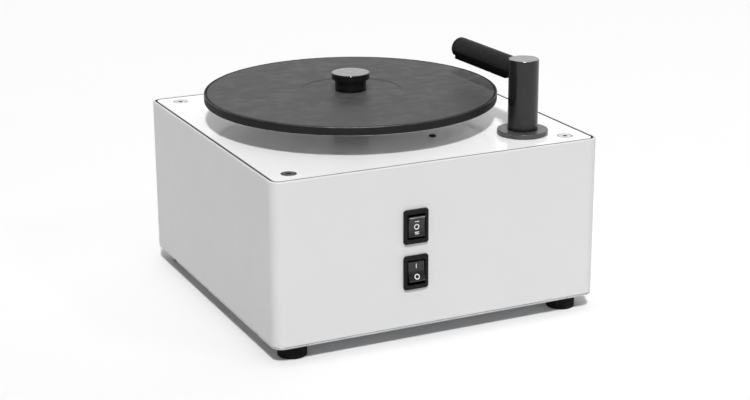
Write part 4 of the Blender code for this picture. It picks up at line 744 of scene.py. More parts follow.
class CLEANER_OT_case_wrap(bpy.types.Operator):
    """Models the folded white sheet round the sides, with its cut-outs and vents"""

    bl_idname = "cleaner.case_wrap"
    bl_label = "Case wrap"

    def execute(self, context):
        case = context.scene.cleaner_case
        wrap = block("case_wrap", CASE_LOW, (CASE_HIGH.x, CASE_HIGH.y, PLATE_TOP), case.corner_radius,
                     segments=16)
        bevel(wrap, level(2, CASE_LOW.z), 0.0006, 3)
        with editing(wrap):
            pick(wrap, "faces", is_top)
            bpy.ops.mesh.delete(type="FACE")
        applied(wrap, "SOLIDIFY", thickness=case.sheet, offset=-1.0, use_even_offset=True)
        bevel(wrap, self.outer_rim, 0.0012, 5)
        lip = Vector((0.010, 0.010, 0.0))
        cut(wrap, CASE_LOW + lip - Vector((0, 0, OVERRUN)),
            Vector((CASE_HIGH.x, CASE_HIGH.y, CASE_LOW.z + WALL_CUT)) - lip, 0.060, segments=14)
        for name in ("motor", "vacuum"):
            centre = middle(name + "_switch_body")
            cut(wrap, (-0.0110, FRONT - OVERRUN, -0.0147), (0.0110, FRONT + WALL_CUT, 0.0147),
                0.0008, 1, 3, Vector((centre.x, 0.0, centre.z)))
        self.cut_back(wrap, case.vent_count)
        soften(wrap, 0.0003)
        dress(wrap, "case_paint", nodes=["casing"])
        return {"FINISHED"}

    def outer_rim(self, edge):
        """Whether an edge of the open wrap is its top edge on the outside."""
        if not level(2, PLATE_TOP)(edge):
            return False
        return any(abs(face.normal.z) < 0.1 and face.normal.dot(face.calc_center_median()) > 0
                   for face in edge.link_faces)

    def cut_back(self, wrap, vent_count):
        """Cuts the inlet's opening, the screw holes, the drain's hole and the vents into the back wall."""
        inlet = middle("mains_inlet")
        inlet.y = BACK
        cut(wrap, (-0.0141, -WALL_CUT, -0.0103), (0.0141, OVERRUN, 0.0103), 0.001, 1, 3, inlet)
        drain = middle("drain_plug")
        for x, z, radius, sides in ((inlet.x - SCREW_REACH, inlet.z, SCREW_HOLE, HOLE_STEPS),
                                    (inlet.x + SCREW_REACH, inlet.z, SCREW_HOLE, HOLE_STEPS),
                                    (drain.x, drain.z, 0.0066, SMALL_STEPS)):
            bored(wrap, (x, BACK, z), radius, -WALL_CUT, OVERRUN, sides, TO_BACK)
        for index in range(vent_count):
            centre = Vector((-0.092 + (index - (vent_count - 1) / 2) * 0.008, BACK, 0.0901))
            cut(wrap, (-0.0015, -WALL_CUT, -0.018), (0.0015, OVERRUN, 0.018), 0.00145, 1, at=centre)


class CLEANER_OT_top_plate(bpy.types.Operator):
    """Models the recessed white plate with its countersinks and bores"""

    bl_idname = "cleaner.top_plate"
    bl_label = "Top plate"

    def execute(self, context):
        case = context.scene.cleaner_case
        low, high = box("top_plate")
        inset = Vector((0.0007, 0.0007, 0.0))
        radius = case.corner_radius - case.sheet - case.seam - inset.x
        plate = block("top_plate_panel", low + inset, high - inset, radius, segments=12)
        bevel(plate, level(2, high.z), 0.0002, 2)
        for corner in CORNERS:
            sink = turned("sink", [(0.0, -0.006), (0.0033, -0.006), (0.0033, -0.0037), (0.0070, 0.0),
                                   (0.0071, 0.001), (0.0, 0.001)], SMALL_STEPS)
            combine(plate, place(sink, upright("top_screw_" + corner, high.z)))
        holes = [("bearing_housing", 0.0113, ROUND_STEPS), ("arm_column", ARM_SOCKET, ROUND_STEPS)]
        holes += [("bridge_screw_" + side, 0.0021, HOLE_STEPS) for side in BRIDGE_SIDES]
        for node, radius, sides in holes:
            bored(plate, upright(node), radius, low.z - OVERRUN, high.z + OVERRUN, sides)
        # The countersinks' cone walls get the dark seam coat: painted shade in the recesses round the screw
        # heads.
        painted(plate, "plate_paint", ("seam_rubber", lambda face: 0.3 < face.normal.z < 0.95
                                       and abs(face.calc_center_median().z - high.z + 0.0017) < 0.001))
        dress(plate, "plate_paint", nodes=["top_plate"])
        return {"FINISHED"}


class CLEANER_OT_seam_gasket(bpy.types.Operator):
    """Models the dark strip that fills the seam and carries the plate's edge"""

    bl_idname = "cleaner.seam_gasket"
    bl_label = "Seam gasket"

    def execute(self, context):
        case = context.scene.cleaner_case
        low, high = box("top_gasket")
        high.z = PLATE_TOP - 0.0001
        outer = case.corner_radius - case.sheet - GAP
        strip = block("seam_gasket", low, high, outer, segments=12)
        step = Vector((case.seam - 2 * GAP, case.seam - 2 * GAP, 0.0))
        ledge = box("top_plate")[0].z - GAP
        cut(strip, Vector((low.x, low.y, ledge)) + step, Vector((high.x, high.y, high.z + OVERRUN)) - step,
            outer - step.x, segments=12)
        step = Vector((0.005 - GAP, 0.005 - GAP, 0.0))
        cut(strip, low + step - Vector((0, 0, OVERRUN)), high - step, outer - step.x)
        dress(strip, "black_rubber", nodes=["top_gasket"], look="seam_rubber")
        return {"FINISHED"}


class CLEANER_OT_base_plate(bpy.types.Operator):
    """Models the zinc-plated base with its slots and holes"""

    bl_idname = "cleaner.base_plate"
    bl_label = "Base plate"

    def execute(self, context):
        low, high = box("base_plate")
        plate = block("base_panel", low, high, context.scene.cleaner_case.corner_radius - GAP, segments=12)
        for corner in CORNERS:
            bored(plate, upright("foot_" + corner), 0.0028, low.z - OVERRUN, high.z + OVERRUN)
        for index in range(7):
            centre = Vector((-0.092 + (index - 3) * 0.009, 0.070, (low.z + high.z) / 2))
            cut(plate, (-0.0015, -0.022, -0.003), (0.0015, 0.022, 0.003), 0.00145, at=centre)
        soften(plate, 0.0002, 1)
        dress(plate, "zinc_steel", nodes=["base_plate"])
        return {"FINISHED"}


class CLEANER_OT_feet(bpy.types.Operator):
    """Models the four rubber feet, each with a bolt in its recess"""

    bl_idname = "cleaner.feet"
    bl_label = "Feet"

    def execute(self, context):
        top = box("base_plate")[0].z - GAP
        radius = 0.0131
        foot = turned("foot", [(0.0, 0.0040), (0.0058, 0.0040, 0.0004), (0.0064, 0.0, 0.0006),
                               (radius, 0.0, 0.0012), (radius, top, 0.0010), (0.0025, top), (0.0, top)],
                      MEDIUM_STEPS)
        bolt = turned("foot_bolt", [(0.0, 0.0022), (0.0040, 0.0022, 0.0004), (0.0045, 0.0040),
                                    (0.0026, 0.0040), (0.0025, top + 0.0150), (0.0018, top + 0.0160),
                                    (0.0, top + 0.0160)], SMALL_STEPS)
        cut(bolt, (-0.006, -0.0006, 0.0), (0.006, 0.0006, 0.0030))
        for corner in CORNERS:
            at = upright("foot_" + corner)
            dress(copied(foot, "foot_pad_" + corner, at), "black_rubber", nodes=["foot_" + corner])
            dress(copied(bolt, "foot_bolt_" + corner, at), "bright_steel")
        discard(foot, bolt)
        return {"FINISHED"}


class CLEANER_OT_top_screws(bpy.types.Operator):
    """Models the four countersunk screws with hexagonal sockets"""

    bl_idname = "cleaner.top_screws"
    bl_label = "Top screws"

    def execute(self, context):
        screw = turned("screw", [(0.0, -0.0193), (0.0026, -0.0193, 0.0003), (0.0030, -0.0186),
                                 (0.0030, -0.0033), (0.0063, -0.0002), (0.0063, 0.0, 0.0001), (0.0, 0.0)],
                       SMALL_STEPS)
        combine(screw, rod("socket", 0.0023, -0.0022, OVERRUN, 6))
        soften(screw, 0.00012, 2, 40)
        for corner, turn in zip(CORNERS, (12, 37, 51, 5)):
            node = "top_screw_" + corner
            made = copied(screw, "corner_screw_" + corner, upright(node, PLATE_TOP), (0, 0, radians(turn)))
            dress(made, "bright_steel", nodes=[node], look="polished_screw")
        discard(screw)
        return {"FINISHED"}


class CLEANER_OT_bridge_screws(bpy.types.Operator):
    """Models the three slotted screws that hold the drive from above"""

    bl_idname = "cleaner.bridge_screws"
    bl_label = "Bridge screws"

    def execute(self, context):
        low, high = box("bridge_screw_front")
        seat = high.z - 0.0015
        screw = turned("screw", [(0.0, low.z), (0.0018, low.z, 0.0002), (0.0018, seat), (0.0032, seat),
                                 (0.0032, seat + 0.0009, 0.0003), (0.0020, high.z, 0.0008), (0.0, high.z)],
                       SMALL_STEPS)
        cut(screw, (-0.005, -0.0004, high.z - 0.0007), (0.005, 0.0004, high.z + OVERRUN))
        soften(screw, 0.00008, 2, 40)
        for side, turn in zip(BRIDGE_SIDES, (24, 70, -35)):
            node = "bridge_screw_" + side
            dress(copied(screw, "drive_screw_" + side, upright(node), (0, 0, radians(turn))),
                  "black_steel", nodes=[node])
        discard(screw)
        return {"FINISHED"}


# The platter


class CLEANER_OT_bearing(bpy.types.Operator):
    """Models the bearing housing, its bush and the threaded spindle"""

    bl_idname = "cleaner.bearing"
    bl_label = "Bearing"

    def execute(self, context):
        low, high = box("bearing_housing")
        seat = PLATE_TOP + GAP
        bore = 0.0076
        lathe("bearing_body", [
            (bore, low.z), (0.0110, low.z), (0.0110, seat), (0.0155, seat, 0.0002),
            (0.0155, seat + 0.0030, 0.0004), (0.0142, seat + 0.0042, 0.0006), (0.0142, high.z, 0.0008),
            (bore, high.z, 0.0003)], PLATTER_AXIS, "black_paint", nodes=["bearing_housing"])
        low, high = box("bearing_bush")
        collar = high.z - 0.0012
        lathe("bearing_sleeve", [
            (PLATTER_BORE, low.z), (0.0073, low.z), (0.0073, collar), (0.0090, collar, 0.0002),
            (0.0090, high.z, 0.0003), (PLATTER_BORE, high.z, 0.0003)],
            PLATTER_AXIS, "bronze", nodes=["bearing_bush"])
        self.make_spindle()
        return {"FINISHED"}

    def make_spindle(self):
        """The spindle, with the clamp's thread on its tip."""
        low, high = box("spindle")
        shoulder = box("platter_mat")[0].z - GAP
        pitch = 0.0010
        outer = 0.0035
        root = outer - 0.0004
        end = high.z - 0.0014
        profile = [(0.0, low.z), (0.0050, low.z, 0.0004), (0.0050, shoulder), (root, shoulder)]
        crest = shoulder + 0.0008
        while crest + pitch < end:
            profile += [(outer, crest), (root, crest + pitch / 2)]
            crest += pitch
        profile += [(root, end), (0.0022, high.z, 0.0005), (0.0, high.z)]
        lathe("spindle_bar", profile, PLATTER_AXIS, "bright_steel", "platter", ["spindle"], SMALL_STEPS)


class CLEANER_OT_platter(bpy.types.Operator):
    """Models the platter's disc, its mat with the label recess, and the hub"""

    bl_idname = "cleaner.platter"
    bl_label = "Platter"

    def execute(self, context):
        sizes = context.scene.cleaner_platter
        low, high = box("platter_disc")
        mat_low, mat_high = box("platter_mat")
        rim = sizes.radius - sizes.mat_rim
        bed = mat_low.z - GAP
        disc = turned("platter_plate", [
            (PLATTER_BORE, low.z), (0.128, low.z), (0.1285, low.z + 0.0006), (0.1295, low.z + 0.0006),
            (0.130, low.z), (sizes.radius, low.z, 0.0009), (sizes.radius, high.z, 0.0008),
            (rim + GAP, high.z, 0.0003), (rim + GAP, bed), (PLATTER_BORE, bed)], FINE_STEPS)
        painted(disc, "rim_black",
                ("aluminium", lambda face: face.normal.z < -0.7
                 and face.calc_center_median().z < mat_low.z - 0.003),
                # The rim's rounded top edge gets a lighter metal finish: a painted highlight along the edge.
                ("rim_edge", lambda face: 0.25 < face.normal.z < 0.9
                 and face.calc_center_median().xy.length > sizes.radius - 0.0008))
        dress(place(disc, PLATTER_AXIS), "black_cast", "platter", ["platter_disc"])
        label = sizes.label_radius
        recess = mat_high.z - 0.0005
        mat = turned("platter_cover", [
            (CLAMP_BORE, mat_low.z), (rim, mat_low.z), (rim, mat_high.z, 0.0004),
            (label + 0.0005, mat_high.z, 0.0003), (label, recess, 0.0002), (CLAMP_BORE, recess)],
            FINE_STEPS)
        dress(place(mat, PLATTER_AXIS), "mat_rubber", "platter", ["platter_mat"], 20)
        low, high = box("platter_hub")
        lathe("platter_boss", [
            (PLATTER_BORE, low.z), (0.0160, low.z, 0.0006), (0.0160, high.z - 0.0030, 0.0010),
            (0.0160, high.z), (PLATTER_BORE, high.z)],
            PLATTER_AXIS, "black_paint", "platter", ["platter_hub"])
        return {"FINISHED"}


class CLEANER_OT_clamp(bpy.types.Operator):
    """Models the record clamp's knob and its pad"""

    bl_idname = "cleaner.clamp"
    bl_label = "Clamp"

    def execute(self, context):
        radius = context.scene.cleaner_platter.clamp_radius
        low, high = box("clamp_knob")
        cap = high.z - 0.0060
        roof = box("spindle")[1].z + 0.0010
        knob = turned("clamp_cap", [
            (0.0, roof), (CLAMP_BORE, roof), (CLAMP_BORE, low.z), (0.0148, low.z, 0.0005),
            (0.0148, cap, 0.0003), (radius, cap, 0.0006), (radius, high.z, 0.0009), (0.0, high.z)],
            FINE_STEPS)
        # The cap's top face gets a lighter metal finish than its sides: a painted highlight on the top.
        painted(knob, "clamp_black", ("bright_face", is_top))
        dress(place(knob, PLATTER_AXIS), "black_paint", "clamp", ["clamp_knob"])
        low, high = box("clamp_pad")
        lathe("clamp_foot", [
            (CLAMP_BORE, low.z), (0.0144, low.z, 0.0003), (0.0144, high.z, 0.0003), (CLAMP_BORE, high.z)],
            PLATTER_AXIS, "black_rubber", "clamp_slide", ["clamp_pad"])
        return {"FINISHED"}


# The arm


class CLEANER_OT_arm_flange(bpy.types.Operator):
    """Models the round flange that the arm's column stands in"""

    bl_idname = "cleaner.arm_flange"
    bl_label = "Arm flange"

    def execute(self, context):
        sizes = context.scene.cleaner_arm
        low, high = box("arm_flange")
        shoulder = low.z + 0.0032
        bore = sizes.column_radius + GAP
        lathe("column_flange", [
            (ARM_SOCKET, low.z), (sizes.flange_radius, low.z, 0.0002),
            (sizes.flange_radius, high.z, 0.0007), (bore, high.z, 0.0003), (bore, shoulder),
            (ARM_SOCKET, shoulder)],
            upright("arm_flange"), "black_cast", nodes=["arm_flange"], steps=MEDIUM_STEPS)
        return {"FINISHED"}


class CLEANER_OT_arm_spring(bpy.types.Operator):
    """Models the wound spring that lifts the arm, at its rest length; nothing here presses it flat as the
    arm sinks
    """

    bl_idname = "cleaner.arm_spring"
    bl_label = "Arm spring"

    def execute(self, context):
        low, high = box("arm_spring")
        wire = 0.0008
        turns = 6
        radius = (high.x - low.x) / 2 - wire
        clear()
        bpy.ops.mesh.primitive_circle_add(vertices=10, radius=wire, location=ORIGIN)
        spring = place(named("lift_spring"), (radius, 0.0, low.z + wire), (pi / 2, 0.0, 0.0))
        applied(spring, "SCREW", angle=2 * pi * turns, screw_offset=high.z - low.z - 2 * wire,
                steps=28 * turns, render_steps=28 * turns)
        with editing(spring, "VERT"):
            everything()
            bpy.ops.mesh.fill_holes(sides=0)
            outwards()
        at = ARM_AXIS
        dress(place(spring, at), "bright_steel", nodes=["arm_spring"])
        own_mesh(spring)
        return {"FINISHED"}


class CLEANER_OT_arm(bpy.types.Operator):
    """Models the column, the slotted suction tube, its end cap and its felt strip"""

    bl_idname = "cleaner.arm"
    bl_label = "Suction arm"

    def execute(self, context):
        sizes = context.scene.cleaner_arm
        low, high = box("arm_column")
        radius = sizes.column_radius
        wall = 0.0022
        column = turned("column_post", [
            (radius - wall, low.z), (radius, low.z, 0.0004), (radius, high.z, 0.0006), (0.0, high.z),
            (0.0, high.z - wall), (radius - wall, high.z - wall)], MEDIUM_STEPS)
        # The column's top face gets a lighter metal finish than its sides: a painted highlight on the top.
        painted(column, "column_black", ("bright_face", lambda face: face.normal.z > 0.3
                                         and face.calc_center_median().z > high.z - 0.0005))
        dress(place(column, ARM_AXIS, ARM_TURN), "black_paint", "arm", ["arm_column"])
        axis = high.z - 0.0121
        reach = sizes.tube_reach
        bore = 0.0046
        tube = turned("suction_pipe", [
            (bore, 0.0), (sizes.tube_radius, 0.0), (sizes.tube_radius, reach - GAP), (bore, reach - GAP)],
            MEDIUM_STEPS)
        place(tube, (0.0, 0.0, axis), TO_BACK)
        self.flatten(tube, axis, 0.020, reach + OVERRUN)
        self.slot(tube, reach, axis - 0.012, axis)
        combine(tube, rod("cope", radius + GAP, low.z, high.z + OVERRUN, MEDIUM_STEPS))
        soften(tube, 0.0002, 2, 40)
        # The tube's downward-facing faces get the black felt finish: partly the real felt round the
        # underside, partly painted shade on the side that faces down.
        painted(tube, "black_paint", ("felt", lambda face: face.normal.z < -0.15))
        dress(place(tube, ARM_AXIS, ARM_TURN), "black_paint", "arm", ["suction_tube"])
        self.make_end(sizes.tube_radius, axis, reach)
        return {"FINISHED"}

    def flatten(self, piece, axis, start, end):
        """Cuts the flat along the tube's underside."""
        cut(piece, (-0.03, start, axis - 0.02), (0.03, end, axis - 0.0060))

    def slot(self, piece, reach, low, high):
        """Cuts the slot that sucks the fluid off the record."""
        cut(piece, (-0.0014, 0.030, low), (0.0014, reach - 0.0070, high), 0.0013, 2, 6)

    def make_end(self, radius, axis, reach):
        """The end cap and the felt strip with its slot."""
        cap = turned("tube_plug", [
            (0.0, -0.0043), (0.0042, -0.0043), (0.0042, 0.0), (radius, 0.0, 0.0002),
            (radius, 0.0020, 0.0007), (0.0, 0.0020)], MEDIUM_STEPS)
        place(cap, (0.0, reach, axis), TO_BACK)
        self.flatten(cap, axis, reach - 0.01, reach + 0.01)
        dress(place(cap, ARM_AXIS, ARM_TURN), "black_paint", "arm", ["arm_end_cap"])
        low, high = box("felt_strip")
        strip = block("felt_pad", (-0.0077, 0.020, low.z), (0.0077, reach - GAP, high.z), 0.0012, 2, 4)
        self.slot(strip, reach, low.z - OVERRUN, high.z + OVERRUN)
        bevel(strip, level(2, low.z), 0.0006, 3)
        dress(place(strip, ARM_AXIS, ARM_TURN), "felt", "arm", ["felt_strip"])


# The switches and sockets


class CLEANER_OT_switches(bpy.types.Operator):
    """Models the two rocker switches: bodies, curved rockers and their printed marks"""

    bl_idname = "cleaner.switches"
    bl_label = "Switches"

    ROCKER_WIDTH = 0.0154
    ROCKER_HALF = 0.0090  # half of the hollow face's height
    ROCKER_PIVOT = -0.1558

    def execute(self, context):
        sizes = context.scene.cleaner_switch
        for name, tilt, blades in (("motor", 0.0, 3), ("vacuum", -sizes.tilt, 2)):
            centre = middle(name + "_switch_body")
            self.make_body(name, sizes, Vector((centre.x, 0.0, centre.z)), blades)
            self.make_rocker(name, (centre.x, self.ROCKER_PIVOT, centre.z), tilt)
        return {"FINISHED"}

    def make_body(self, name, sizes, at, blades):
        """The body with its bezel, its window and its terminals."""
        back = FRONT - GAP
        face = back - 0.0020
        wide, tall = sizes.bezel_width / 2, sizes.bezel_height / 2
        body = block(name + "_switch_case", (-wide, face, -tall), (wide, back, tall), 0.0026, 1, 6, at)
        bevel(body, level(1, face), 0.0008, 3)
        combine(body, block("inner", (-0.0107, back - 0.001, -0.0144), (0.0107, FRONT + 0.0210, 0.0144),
                            at=at), "UNION")
        cut(body, (-0.0089, face - OVERRUN, -0.0115), (0.0089, face + 0.0135, 0.0115), 0.0008, 1, 3, at)
        for index in range(blades):
            height = (index - (blades - 1) / 2) * 0.008
            combine(body, block("blade", (-0.0024, FRONT + 0.0200, height - 0.0004),
                                (0.0024, FRONT + 0.0290, height + 0.0004), at=at), "UNION")
        soften(body, 0.00015, 2, 50)
        dress(body, "black_plastic", nodes=[name + "_switch_body"], look="bezel_black")

    def make_rocker(self, name, at, tilt):
        """The rocker with its hollow face, and the marks raised on it."""
        side = -self.ROCKER_WIDTH / 2
        heights = [step / 8 * self.ROCKER_HALF for step in range(-8, 9)]
        profile = [(side, -self.rise(height), height) for height in heights]
        back = [(side, -0.0020, 0.0094), (side, 0.0055, 0.0060), (side, 0.0055, -0.0060),
                (side, -0.0020, -0.0094)]
        rocker = extruded(name + "_rocker_key", profile + back, (self.ROCKER_WIDTH, 0.0, 0.0))
        bevel(rocker, level(1, -self.rise(self.ROCKER_HALF)), 0.0010, 1)
        soften(rocker, 0.0003, 3, 30)
        pins = rod("pins", 0.0014, -0.0096, 0.0096, 24)
        combine(rocker, place(pins, ORIGIN, (0.0, pi / 2, 0.0)), "UNION")
        rocker.data.materials.append(finish("black_plastic"))
        marks = self.marks(name)
        activate(rocker)
        for mark in marks:
            mark.data.materials.append(finish("white_print"))
            mark.select_set(True)
        bpy.ops.object.join()
        place(rocker, at, (tilt, 0.0, 0.0))
        dress(rocker, "black_plastic", name + "_rocker", [name + "_rocker"])

    def marks(self, name):
        """The marks I, O and II of the motor's rocker, or I and O of the vacuum's."""
        long = 0.0021
        thin = 0.00036
        if name == "motor":
            return [self.bar(0.0050, long, thin), self.ring(0.0),
                    self.bar(-0.0048, long, thin), self.bar(-0.0062, long, thin)]
        return [self.bar(0.0049, thin, long), self.ring(-0.0048)]

    def rise(self, height):
        """How far the hollow face stands out at a height."""
        return 0.0050 + 0.0015 * (abs(height) / self.ROCKER_HALF) ** 1.6

    def printed(self, mark):
        """Bends a flat mark onto the hollow face."""
        for vertex in mark.data.vertices:
            vertex.co.y -= self.rise(vertex.co.z)
        return mark

    def bar(self, height, half_width, half_height):
        """A bar printed on the face."""
        return self.printed(block("mark", (-half_width, -0.00006, height - half_height),
                                  (half_width, 0.0003, height + half_height), 0.0002, 1, 3))

    def ring(self, height):
        """A ring printed on the face."""
        mark = turned("mark", [(0.00165, -0.0003), (0.00255, -0.0003), (0.00255, 0.00006),
                               (0.00165, 0.00006)], SMALL_STEPS)
        return self.printed(place(mark, (0.0, 0.0, height), (pi / 2, 0.0, 0.0)))


class CLEANER_OT_mains_inlet(bpy.types.Operator):
    """Models the three-pin inlet in the back wall and its two screws"""

    bl_idname = "cleaner.mains_inlet"
    bl_label = "Mains inlet"

    def execute(self, context):
        low, high = box("mains_inlet")
        at = Vector(((low.x + high.x) / 2, 0.0, (low.z + high.z) / 2))
        face = high.y
        inlet = block("mains_socket", (-0.0250, face - 0.0022, -0.0113), (0.0250, face, 0.0113),
                      0.0040, 1, 8, at)
        bevel(inlet, level(1, face), 0.0005, 3)
        combine(inlet, block("shell", (-0.0138, low.y, -0.0100), (0.0138, face - 0.001, 0.0100),
                             0.0010, 1, 3, at), "UNION")
        wide, tall, cut = 0.01225, 0.0084, 0.0050
        outline = [(-wide, -tall, 0.0015), (wide, -tall, 0.0015), (wide, tall - cut, 0.001),
                   (wide - cut, tall, 0.001), (-wide + cut, tall, 0.001), (-wide, tall - cut, 0.001)]
        floor = face - 0.0165
        ring = [(at.x + point.x, floor, at.z + point.y) for point in rounded(outline, 4)]
        combine(inlet, extruded("cavity", ring, (0.0, face - floor + OVERRUN, 0.0)))
        for side in (-1, 1):
            bored(inlet, at + Vector((side * SCREW_REACH, face, 0)), SCREW_HOLE, -WALL_CUT, OVERRUN,
                  turn=TO_BACK)
        dress(inlet, "black_plastic", nodes=["mains_inlet"])
        for name, x, z in (("left", -0.007, -0.002), ("earth", 0.0, 0.002), ("right", 0.007, -0.002)):
            pin = block("inlet_pin_" + name, (x - 0.001, floor - 0.001, z - 0.002),
                        (x + 0.001, face - 0.002, z + 0.002), at=at)
            soften(pin, 0.0004, 3)
            dress(pin, "bright_steel")
        self.make_screws(at, face)
        return {"FINISHED"}

    def make_screws(self, at, face):
        """Two domed screws with crossed recesses."""
        screw = turned("screw", [(0.0, -0.0090), (0.0012, -0.0090), (0.0015, -0.0080), (0.0015, 0.0),
                                 (0.0029, 0.0, 0.0002), (0.0027, 0.0012, 0.0006), (0.0012, 0.0018, 0.0012),
                                 (0.0, 0.0018)], SMALL_STEPS)
        for wide, deep in ((0.0014, 0.00035), (0.00035, 0.0014)):
            cut(screw, (-wide, -deep, 0.0008), (wide, deep, 0.004))
        for side, name in ((-1, "left"), (1, "right")):
            made = copied(screw, "socket_screw_" + name, ORIGIN, (0.0, 0.0, radians(30 + 25 * side)))
            place(made, at + Vector((side * SCREW_REACH, face + GAP, 0.0)), TO_BACK)
            dress(made, "bright_steel", nodes=["inlet_screw_" + name])
        discard(screw)


class CLEANER_OT_drain(bpy.types.Operator):
    """Models the drain spout in the back wall and its ribbed plug"""

    bl_idname = "cleaner.drain"
    bl_label = "Drain"

    def execute(self, context):
        low, high = box("drain_spout")
        plug_low, plug_high = box("drain_plug")
        centre = middle("drain_plug")
        at = (centre.x, 0.0, centre.z)
        seat = BACK + GAP
        bore, outer, collar = 0.0045, 0.0063, 0.0105
        lathe("drain_tube", [
            (bore, low.y), (outer, low.y), (outer, seat), (collar, seat, 0.0002),
            (collar, high.y, 0.0006), (bore, high.y, 0.0004)],
            at, "black_plastic", nodes=["drain_spout"], turn=TO_BACK)
        start, end = high.y + GAP, plug_high.y
        radius = 0.0078
        flutes = 18
        plug = turned("drain_stopper", [
            (0.0, plug_low.y), (0.0036, plug_low.y, 0.0006), (0.0042, start),
            (radius - 0.0002, start, 0.0004), (radius - 0.0002, end, 0.0010), (0.0040, end, 0.0006),
            (0.0034, end - 0.0008), (0.0, end - 0.0008)])
        for index in range(flutes):
            turn = 2 * pi * index / flutes
            outside = radius + 0.0001
            bored(plug, (outside * cos(turn), outside * sin(turn), 0.0), 0.0007, start - 0.0001,
                  end + OVERRUN, 12)
        dress(place(plug, at, TO_BACK), "black_rubber", "drain_plug", ["drain_plug"])
        return {"FINISHED"}


class CLEANER_OT_inner_finishes(bpy.types.Operator):
    """Gives the finishes to the CAD pieces that stay, inside the case"""

    bl_idname = "cleaner.inner_finishes"
    bl_label = "Inner finishes"

    def execute(self, context):
        for part in frame["record"]["subparts"]:
            node = frame["nodes"][part["node"]]
            node.data.materials.clear()
            node.data.materials.append(finish(part["material_slot"]))
        return {"FINISHED"}


# The stage


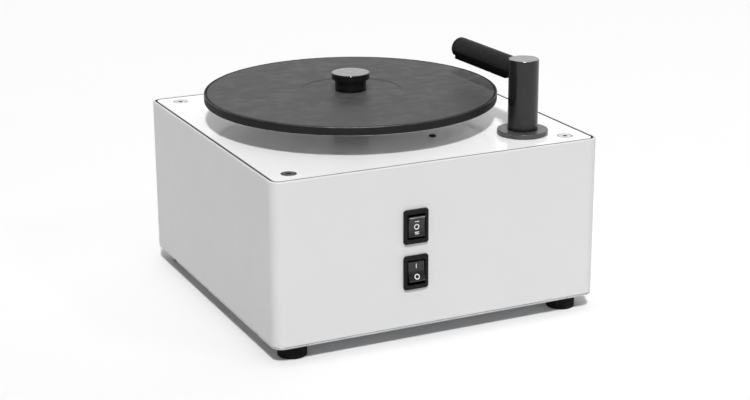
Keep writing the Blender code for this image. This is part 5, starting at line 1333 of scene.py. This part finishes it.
class CLEANER_OT_stage(bpy.types.Operator):
    """Sets the floor, the light and the camera"""

    bl_idname = "cleaner.stage"
    bl_label = "Stage"

    def execute(self, context):
        stage = context.scene.cleaner_stage
        context.scene.view_settings.view_transform = "Standard"
        self.make_floor(stage)
        self.make_world(context, stage)
        self.make_lamps(stage)
        self.make_camera(context, stage)
        return {"FINISHED"}

    def make_floor(self, stage):
        """A wide pale floor that glows a little."""
        clear()
        bpy.ops.mesh.primitive_plane_add(size=40.0, location=ORIGIN)
        floor = named("studio_floor")
        made = Finish("floor", 0.7, Specular__IOR__Level=0.1, Emission__Color=WHITE,
                      Emission__Strength=0.05)
        made.colour(made.noise(3.0), shade(stage.floor_colour, 0.995), stage.floor_colour)
        floor.data.materials.append(made.material)

    def make_lamps(self, stage):
        """A soft key from the front left, and a small panel that glints on the motor's rocker."""
        rise = radians(53)
        towards = Vector((-0.37 * cos(rise), -0.93 * cos(rise), sin(rise)))
        key = self.lamp("key_light", "SUN", towards * 3.0)
        key.data.energy = stage.key
        key.data.angle = radians(6)
        panel = self.lamp("small_panel", "AREA", Vector((0.83, -1.33, 1.50)))
        panel.data.size = 0.25
        panel.data.energy = 14.0 * pi * panel.data.size ** 2
        panel.visible_camera = False

    def lamp(self, name, kind, at):
        """A lamp that points at the machine."""
        clear()
        bpy.ops.object.light_add(type=kind, location=at)
        made = named(name)
        made.rotation_euler = at.to_track_quat("Z", "Y").to_euler()
        return made

    def make_world(self, context, stage):
        """Light from all round, weaker from the left, strong overhead and from the wall behind."""
        world = bpy.data.worlds.new("studio")
        made = Nodes(world)
        where = made.add("ShaderNodeTexCoord").outputs["Generated"]
        split = made.add("ShaderNodeSeparateXYZ", [(0, where)]).outputs
        ahead = made.add("ShaderNodeVectorMath", [(0, where), (1, (sin(stage.yaw), cos(stage.yaw), 0.0))],
                         operation="DOT_PRODUCT").outputs["Value"]

        def ramp(value, *ends):
            return made.spread(value, *ends, interpolation_type="SMOOTHSTEP")

        slope = 0.10
        sideways = ramp(split["X"], stage.fill - slope, stage.fill + slope, -1.0, 1.0)
        above = ramp(split["Z"], 0.0, stage.overhead, sin(radians(46)), sin(radians(60)))
        wall = made.math("MULTIPLY", ramp(ahead, 0.0, stage.wall, 0.3, 0.6),
                         ramp(split["Z"], 1.0, 0.0, sin(radians(34)), sin(radians(40))))
        light = made.math("ADD", made.math("ADD", sideways, above), wall)
        seen = made.add("ShaderNodeLightPath").outputs["Is Camera Ray"]
        choice = made.add("ShaderNodeMix", [("Factor", seen), ("A", light), ("B", 1.05)])
        background = made.tree.nodes["Background"].inputs
        made.give(background["Color"], WHITE)
        made.give(background["Strength"], choice.outputs["Result"])
        context.scene.world = world

    def make_camera(self, context, stage):
        """The camera where the photograph was taken from."""
        ahead = Vector((sin(stage.yaw) * cos(stage.pitch), cos(stage.yaw) * cos(stage.pitch),
                        -sin(stage.pitch)))
        side = ahead.cross(Vector((0.0, 0.0, 1.0))).normalized()
        above = side.cross(ahead)
        right = side * cos(stage.roll) + above * sin(stage.roll)
        up = above * cos(stage.roll) - side * sin(stage.roll)
        clear()
        bpy.ops.object.camera_add(location=stage.camera_place)
        camera = named("camera")
        camera.rotation_euler = Matrix((right, up, -ahead)).transposed().to_euler()
        camera.data.sensor_width = 36.0
        camera.data.lens = 82.76
        camera.data.clip_end = 100.0
        context.scene.camera = camera


STEPS = (
    CLEANER_OT_case_wrap, CLEANER_OT_top_plate, CLEANER_OT_seam_gasket, CLEANER_OT_base_plate,
    CLEANER_OT_feet, CLEANER_OT_top_screws, CLEANER_OT_bridge_screws, CLEANER_OT_bearing,
    CLEANER_OT_platter, CLEANER_OT_clamp, CLEANER_OT_arm_flange, CLEANER_OT_arm_spring,
    CLEANER_OT_arm, CLEANER_OT_switches, CLEANER_OT_mains_inlet, CLEANER_OT_drain,
    CLEANER_OT_inner_finishes, CLEANER_OT_stage,
)
GROUPS = {
    "cleaner_case": CleanerCase, "cleaner_platter": CleanerPlatter, "cleaner_arm": CleanerArm,
    "cleaner_switch": CleanerSwitch, "cleaner_stage": CleanerStage,
}


class CLEANER_PT_panel(bpy.types.Panel):
    """Lists the steps and the settings of the record cleaning machine"""

    bl_idname = "CLEANER_PT_panel"
    bl_label = "Record cleaning machine"
    bl_space_type = "VIEW_3D"
    bl_region_type = "UI"
    bl_category = "Cleaner"

    def draw(self, context):
        column = self.layout.column(align=True)
        for step in STEPS:
            column.operator(step.bl_idname)
        for name, group in GROUPS.items():
            part = self.layout.box()
            for setting in group.__annotations__:
                part.prop(getattr(context.scene, name), setting)


def register():
    """Registers the settings, the operators and the panel."""
    for name, group in GROUPS.items():
        bpy.utils.register_class(group)
        setattr(bpy.types.Scene, name, PointerProperty(type=group))
    for step in STEPS:
        bpy.utils.register_class(step)
    bpy.utils.register_class(CLEANER_PT_panel)


def unregister():
    """Takes everything off again."""
    bpy.utils.unregister_class(CLEANER_PT_panel)
    for step in reversed(STEPS):
        bpy.utils.unregister_class(step)
    for name, group in reversed(GROUPS.items()):
        delattr(bpy.types.Scene, name)
        bpy.utils.unregister_class(group)


def main():
    """Runs every step."""
    register()
    for step in STEPS:
        group, name = step.bl_idname.split(".")
        getattr(getattr(bpy.ops, group), name)()
    clear()
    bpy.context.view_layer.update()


if __name__ == "__main__":
    main()
